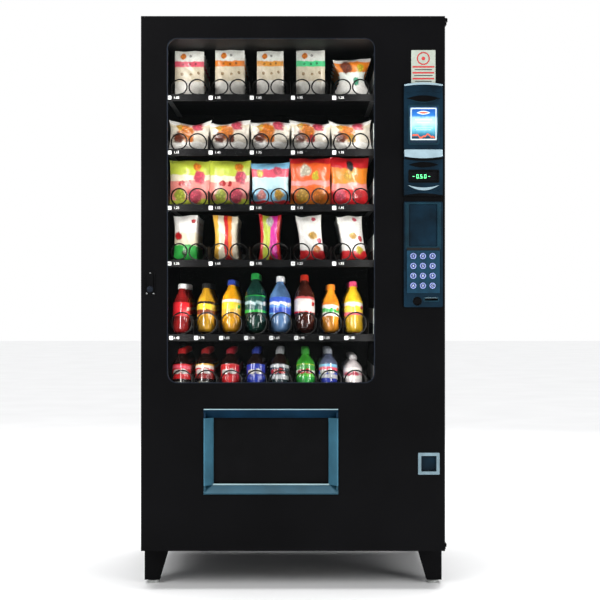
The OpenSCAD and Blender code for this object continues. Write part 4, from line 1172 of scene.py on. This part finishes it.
def bars():
    """Fourth row: slim upright bars."""
    green = printed("bar_green", [(0, GREEN), (0.34, CREAM), (0.62, WHITE)],
                    [(0.18, 0.55, 0.20, RED), (0.45, 0.15, 0.14, (0.02, 0.1, 0.02)), (0.86, 0.88, 0.11, RED)],
                    tall=1.8)
    stripes = printed("bar_stripes", [(0, AMBER), (0.18, CREAM), (0.44, RED), (0.62, ORANGE), (0.78, CREAM)],
                      [(0.62, 0.03, 0.16, RED)], across=True, tall=1.8)
    magenta = printed("bar_magenta", [(0, RED), (0.14, LIME), (0.50, MAGENTA), (0.86, RED)],
                      [(0.52, 0.88, 0.22, WHITE), (0.6, 0.04, 0.2, RED)], across=True, tall=1.8)
    white_1 = printed("bar_white_1", [(0, RED), (0.20, WHITE)],
                      [(0.60, 0.55, 0.22, AMBER), (0.85, 0.45, 0.13, PINK), (0.72, 0.24, 0.18, ORANGE),
                       (0.72, 0.92, 0.09, PINK)], tall=1.8)
    white_2 = printed("bar_white_2", [(0, RED), (0.20, WHITE)],
                      [(0.55, 0.55, 0.20, AMBER), (0.84, 0.50, 0.13, RED), (0.74, 0.22, 0.18, YELLOW),
                       (0.72, 0.92, 0.09, PINK)], tall=1.8)
    return [(76, 150, 26, green, 0.03, 0.04, 0.02, 0),
            (80, 150, 26, stripes, 0.10, 0.04, -0.04, 0),
            (70, 152, 26, magenta, 0.10, 0.04, 0, 0),
            (82, 150, 26, white_1, 0.06, 0.04, -0.20, 0),
            (80, 148, 26, white_2, 0.06, 0.04, -0.26, 0)]


# How far a pack's corners stand out, row by row, and how far some packs sit off their lane's middle.
EARS = (5, 7, 2, 4)
OFF_MIDDLE = {(0, 4): 3, (2, 0): 2, (2, 4): -6, (3, 0): -14, (3, 1): -14, (3, 2): -1, (3, 4): 4}
PACKS_DEEP = 5


def snacks():
    """Packs in the snack lanes: (width, height, thickness, print, pinch, lean, twist, boxiness)."""
    for t, row in enumerate((cartons(), rolls(), crisps(), bars())):
        for i, (w, h, thick, look, pinch, lean, twist, boxy) in enumerate(row):
            driven = (t, i) == (0, DRIVEN)
            body, back, lift = ("snack_packs", 0, 13) if driven else ("cabinet", 8, 7)
            name = "goods_%d_%d" % (t + 1, i + 1)
            pack = cushion(name, SNACK_LANES[i] + OFF_MIDDLE.get((t, i), 0), COIL_FRONT + SNACK_PITCH + back,
                           SNACK_FLOORS[t] + lift, w, h, thick, body, look, 10 * t + i, lean, twist, pinch,
                           boxy, 0 if boxy else EARS[t])
            whole = repeat_back(pack, PACKS_DEEP, SNACK_PITCH, name)
            if driven:
                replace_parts(whole, "snack_packs")


def juice(name, colour, rough=0.12):
    """A full bottle's plastic: the drink's colour, glossy, with a few moulded waves."""
    made, shader = new_finish(name, colour, rough, coat=0.7)
    depth = noise(made, place(made, (1, 1, 0.4)), 28.0, 2.0)
    wire(made, ramp(made, depth, [(0.35, tint(colour, 0.55)), (0.65, tint(colour, 1.25))]),
         shader.inputs["Base Color"])
    bump(made, shader, depth, 0.3, 0.002)
    return made


def bottle_looks(size, tag, drink, cap, bands, spots, gloss):
    """Finishes of a bottle: its drink, its label and its cap."""
    return [juice(size + "drink_" + tag, drink),
            printed(size + "label_" + tag, bands, spots, crinkle=0.0, gloss=gloss, coat=0.5, streak=0.3),
            surface(size + "cap_" + tag, cap, 0.4, shade=0.08, patch=60.0, grain=700.0)]


def lane_of_bottles(name, rings, lane, aside, floor, radius, lean, sink, looks, spin):
    """A leaning bottle at the front of its lane, and four more behind it."""
    lift = radius * math.sin(math.radians(lean)) * sink + 3
    one = turned(name, rings, (DRINK_LANES[lane] + aside, COIL_FRONT + DRINK_PITCH, floor + lift), lean,
                 "cabinet", looks, sides=30, spin=spin)
    repeat_back(one, PACKS_DEEP, DRINK_PITCH, name)


COLA = (0.05, 0.010, 0.006)
DARK_COLA = (0.012, 0.004, 0.003)
LEMON = (0.75, 0.45, 0.02)
STEEL = (0.25, 0.27, 0.25)

# Tall bottles: tag, radius, height, drink, cap, label bands, label dots, off the lane's middle, spin.
TALL_BOTTLES = (
    ("red", 30, 170, (0.22, 0.010, 0.010), (0.88, 0.88, 0.86),
     [(0, RED), (0.30, (0.70, 0.02, 0.03)), (0.60, RED)], WHITE, -6, -3),
    ("gold", 31, 172, (0.66, 0.34, 0.02), (0.02, 0.02, 0.02),
     [(0, AMBER), (0.34, BROWN), (0.44, YELLOW), (0.56, (0.03, 0.02, 0.02)), (0.62, AMBER)], AMBER, -5, 2),
    ("orange", 33, 184, (0.82, 0.36, 0.01), (0.03, 0.06, 0.35),
     [(0, ORANGE), (0.30, AMBER), (0.42, YELLOW), (0.56, WHITE), (0.62, AMBER)], GREEN, -3, 0),
    ("green", 36.5, 206, (0.006, 0.035, 0.025), (0.02, 0.35, 0.06),
     [(0, GREEN), (0.36, (0.01, 0.07, 0.07)), (0.45, (0.35, 0.50, 0.50)), (0.50, (0.01, 0.08, 0.06)),
      (0.60, GREEN)], WHITE, -3, 3),
    ("clear", 37, 196, (0.10, 0.20, 0.38), (0.88, 0.89, 0.90),
     [(0, SKY), (0.32, (0.03, 0.08, 0.5)), (0.42, (0.10, 0.28, 0.75)), (0.47, WHITE),
      (0.52, (0.05, 0.12, 0.6)), (0.62, SKY)], WHITE, -5, -2),
    ("cola", 35, 202, COLA, (0.60, 0.03, 0.012),
     [(0, RED), (0.34, (0.72, 0.68, 0.66)), (0.56, (0.60, 0.10, 0.10)), (0.60, COLA)], RED, -4, 1),
    ("peach", 29, 168, (0.80, 0.30, 0.02), (0.88, 0.26, 0.02),
     [(0, ORANGE), (0.30, WHITE), (0.40, GREEN), (0.48, WHITE), (0.56, ORANGE), (0.62, ORANGE)],
     ORANGE, 0, -3),
    ("lemon", 32, 178, LEMON, (0.80, 0.08, 0.20),
     [(0, YELLOW), (0.30, PINK), (0.38, YELLOW), (0.50, WHITE), (0.58, YELLOW)], PINK, -4, 3))

# Small bottles: tag, height, drink, cap, label bands, label dots, off the lane's middle, spin.
SMALL_RADIUS = 32.5
SMALL_BOTTLES = (
    ("cola_1", 142, DARK_COLA, (0.50, 0.01, 0.01),
     [(0, STEEL), (0.16, DARK_COLA), (0.24, RED), (0.44, RED), (0.50, PINK), (0.58, RED)], WHITE, -4, 2),
    ("cola_2", 142, DARK_COLA, (0.30, 0.01, 0.01),
     [(0, STEEL), (0.16, DARK_COLA), (0.24, (0.30, 0.02, 0.02)), (0.44, RED), (0.50, WHITE), (0.58, AMBER)],
     WHITE, -11, -3),
    ("spice", 142, DARK_COLA, (0.30, 0.01, 0.02),
     [(0, RED), (0.34, (0.45, 0.01, 0.02)), (0.46, RED), (0.60, (0.7, 0.1, 0.1))], WHITE, -7, 0),
    ("blue", 142, DARK_COLA, (0.02, 0.04, 0.30),
     [(0, BLUE), (0.32, (0.02, 0.04, 0.40)), (0.58, BLUE)], WHITE, -2, 2),
    ("silver", 142, DARK_COLA, (0.45, 0.46, 0.48),
     [(0, (0.02, 0.04, 0.05)), (0.22, SILVERY), (0.34, (0.02, 0.03, 0.06)), (0.52, SILVERY),
      (0.60, (0.01, 0.01, 0.02))], RED, -7, -2),
    ("lime", 142, (0.05, 0.40, 0.03), (0.06, 0.42, 0.05),
     [(0, GREEN), (0.30, (0.12, 0.60, 0.05)), (0.40, WHITE), (0.46, (0.05, 0.35, 0.05)), (0.60, LIME)],
     RED, 0, 3),
    ("lilac", 142, (0.10, 0.12, 0.20), (0.30, 0.32, 0.36),
     [(0, (0.03, 0.05, 0.40)), (0.26, SILVERY), (0.36, (0.05, 0.10, 0.55)), (0.46, PINK), (0.54, SKY),
      (0.62, BLUE)], WHITE, -8, 0),
    ("pale", 120, (0.55, 0.50, 0.50), (0.60, 0.58, 0.58),
     [(0, (0.75, 0.70, 0.70)), (0.28, WHITE), (0.40, (0.60, 0.35, 0.38)), (0.48, WHITE),
      (0.58, (0.80, 0.74, 0.74))], PINK, -8, -2))


def tall_profile(r, h):
    """Rings of a tall bottle from its foot to its cap: height, radius and finish (drink, label, cap)."""
    return [(0, 0.50 * r, 0), (-2.5, 0.62 * r, 0), (0, 0.80 * r, 0), (5, 0.93 * r, 0), (13, r, 0),
            (0.20 * h, 0.985 * r, 0), (0.24 * h, 0.93 * r, 0), (0.28 * h, 0.985 * r, 0), (0.31 * h, r, 0),
            (0.315 * h, 1.01 * r, 1), (0.60 * h, 1.01 * r, 1), (0.605 * h, 0.99 * r, 0),
            (0.66 * h, 0.93 * r, 0), (0.74 * h, 0.74 * r, 0), (0.82 * h, 0.50 * r, 0), (0.87 * h, 13, 0),
            (0.90 * h, 12.2, 0), (0.903 * h, 15.5, 2), (0.915 * h, 14.4, 2), (0.985 * h, 14.2, 2),
            (h, 13.0, 2)]


def small_profile(r, h):
    """Rings of a small bottle, whose label runs down to its foot."""
    return [(0, 0.50 * r, 0), (-2, 0.62 * r, 0), (0, 0.80 * r, 0), (4, 0.93 * r, 1), (11, r, 1),
            (0.60 * h, r, 1), (0.64 * h, 0.985 * r, 0), (0.70 * h, 0.90 * r, 0), (0.78 * h, 0.66 * r, 0),
            (0.85 * h, 0.42 * r, 0), (0.885 * h, 12, 0), (0.89 * h, 14.4, 2), (0.985 * h, 14.0, 2),
            (h, 12.8, 2)]


def drinks():
    """Tall bottles on the upper drink tray and small ones below, all leaning back on their coils."""
    for i, (tag, r, h, drink, cap, bands, dot, aside, spin) in enumerate(TALL_BOTTLES):
        dots = [(u, 0.48, 0.045, dot) for u in (0.12, 0.37, 0.62, 0.87)]
        lane_of_bottles("bottle_" + tag, tall_profile(r, h), i, aside, DRINK_FLOORS[0], r,
                        12 + (i * 7) % 4, 0.62, bottle_looks("", tag, drink, cap, bands, dots, 0.25), spin)
    for i, (tag, h, drink, cap, bands, dot, aside, spin) in enumerate(SMALL_BOTTLES):
        dots = [(u, 0.42, 0.07, dot) for u in (0.02, 0.27, 0.52, 0.77)]
        lane_of_bottles("small_bottle_" + tag, small_profile(SMALL_RADIUS, h), i, aside, DRINK_FLOORS[1],
                        SMALL_RADIUS, 14 + (i * 5) % 3, 0.55,
                        bottle_looks("small_", tag, drink, cap, bands, dots, 0.22), spin)


# ---------------------------------------------------------------- stage, light, camera

def stage():
    """A pale floor, a soft studio, the lamps inside the cabinet and the camera."""
    bpy.ops.object.select_all(action="DESELECT")
    bpy.ops.mesh.primitive_plane_add(size=60, location=(0, 0, 0))
    floor = bpy.context.object
    floor.name = "studio_floor"
    made, shader = new_finish("studio_floor", (0.93, 0.93, 0.93), 0.75)
    drift = noise(made, place(made), 2.0, 3.0)
    wire(made, ramp(made, drift, [(0.3, (0.91, 0.91, 0.91)), (0.7, (0.95, 0.95, 0.95))]),
         shader.inputs["Base Color"])
    floor.data.materials.append(made)

    world = bpy.data.worlds.new("studio")
    bpy.context.scene.world = world
    world.use_nodes = True
    tree = world.node_tree
    tree.nodes.clear()
    out = tree.nodes.new("ShaderNodeOutputWorld")
    seen, given = tree.nodes.new("ShaderNodeBackground"), tree.nodes.new("ShaderNodeBackground")
    seen.inputs["Color"].default_value = (1, 1, 1, 1)
    seen.inputs["Strength"].default_value = 1.0
    given.inputs["Color"].default_value = (0.95, 0.97, 1, 1)
    given.inputs["Strength"].default_value = 0.22
    mix, path = tree.nodes.new("ShaderNodeMixShader"), tree.nodes.new("ShaderNodeLightPath")
    tree.links.new(path.outputs["Is Camera Ray"], mix.inputs["Fac"])
    tree.links.new(given.outputs[0], mix.inputs[1])
    tree.links.new(seen.outputs[0], mix.inputs[2])
    tree.links.new(mix.outputs[0], out.inputs["Surface"])

    def lamp(name, at, towards, size, power, colour=(1, 1, 1)):
        """A flat rectangular light at a place, facing another."""
        light = bpy.data.lights.new(name, "AREA")
        light.shape = "RECTANGLE"
        light.size, light.size_y = size
        light.energy = power
        light.color = colour
        holder = bpy.data.objects.new(name, light)
        bpy.context.scene.collection.objects.link(holder)
        holder.location = at
        holder.rotation_euler = (Vector(towards) - Vector(at)).to_track_quat("-Z", "Y").to_euler()

    sun = bpy.data.lights.new("studio_overhead", "SUN")
    sun.energy = 2.6
    sun.angle = math.radians(40)
    above = bpy.data.objects.new("studio_overhead", sun)
    bpy.context.scene.collection.objects.link(above)
    above.location = (0, 0, 5)
    lamp("studio_key", (-2.4, -4.2, 2.9), (0, 0, 1.0), (2.2, 2.2), 150)
    lamp("studio_fill", (2.9, -3.8, 1.7), (0, 0, 1.0), (2.0, 2.0), 100)
    lamp("studio_back", (1.0, 4.2, 3.4), (0, 0, 1.0), (2.5, 2.0), 90)
    lamp("jamb_lamp_left", (-0.405, -0.30, 1.23), (0.1, -0.10, 1.23), (0.03, 1.10), 4, (1, 0.98, 0.95))
    lamp("jamb_lamp_right", (0.255, -0.30, 1.23), (-0.25, -0.10, 1.23), (0.03, 1.10), 4, (1, 0.98, 0.95))

    camera = bpy.data.cameras.new("camera")
    camera.sensor_width = 36
    camera.lens = 93.1
    camera.clip_end = 100
    holder = bpy.data.objects.new("camera", camera)
    bpy.context.scene.collection.objects.link(holder)
    holder.location = (0.0226, -5.46, 0.935)
    holder.rotation_euler = (math.radians(90), 0, 0)
    bpy.context.scene.camera = holder
    bpy.context.scene.view_settings.view_transform = "Standard"


def lit_card():
    """The card behind its window: blue sky, a pale middle and a dark foot, softly lit."""
    low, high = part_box("picture_card")
    made, shader = new_finish("lit_card", (0.3, 0.5, 0.7), 0.2, coat=0.3)
    coords = node(made, "ShaderNodeTexCoord").outputs["Object"]
    mapping = node(made, "ShaderNodeMapping", vector_type="TEXTURE")
    mapping.inputs["Location"].default_value = (low.x, 0, low.z)
    mapping.inputs["Scale"].default_value = (high.x - low.x, 1, high.z - low.z)
    wire(made, coords, mapping.inputs["Vector"])
    split = node(made, "ShaderNodeSeparateXYZ")
    wire(made, mapping.outputs["Vector"], split.inputs["Vector"])
    cloud = noise(made, mapping.outputs["Vector"], 3.4, 4.0)
    sway = node(made, "ShaderNodeMath", operation="MULTIPLY_ADD")
    sway.inputs[1].default_value = 0.16
    wire(made, cloud, sway.inputs[0])
    wire(made, split.outputs["Z"], sway.inputs[2])
    base = ramp(made, sway.outputs[0], [(0.0, (0.004, 0.010, 0.022)), (0.24, (0.008, 0.030, 0.055)),
                                        (0.34, (0.03, 0.16, 0.25)), (0.50, (0.16, 0.50, 0.62)),
                                        (0.64, (0.42, 0.62, 0.68)), (0.78, (0.30, 0.52, 0.66)),
                                        (0.84, (0.02, 0.16, 0.48)), (1.0, (0.01, 0.08, 0.34))])
    wire(made, base, shader.inputs["Base Color"])
    wire(made, base, shader.inputs["Emission Color"])
    shader.inputs["Emission Strength"].default_value = 0.45
    return made


CARD = lit_card()

dress_cabinet()
screws_on_cabinet()
light_tubes()
all_coils()
price_rails()
dress_door()
door_seal()
delivery_frame()
control_column()
display()
keypad()
coin_row()
picture_card()
info_plate()
lock()
door_inside()
snacks()
drinks()
stage()
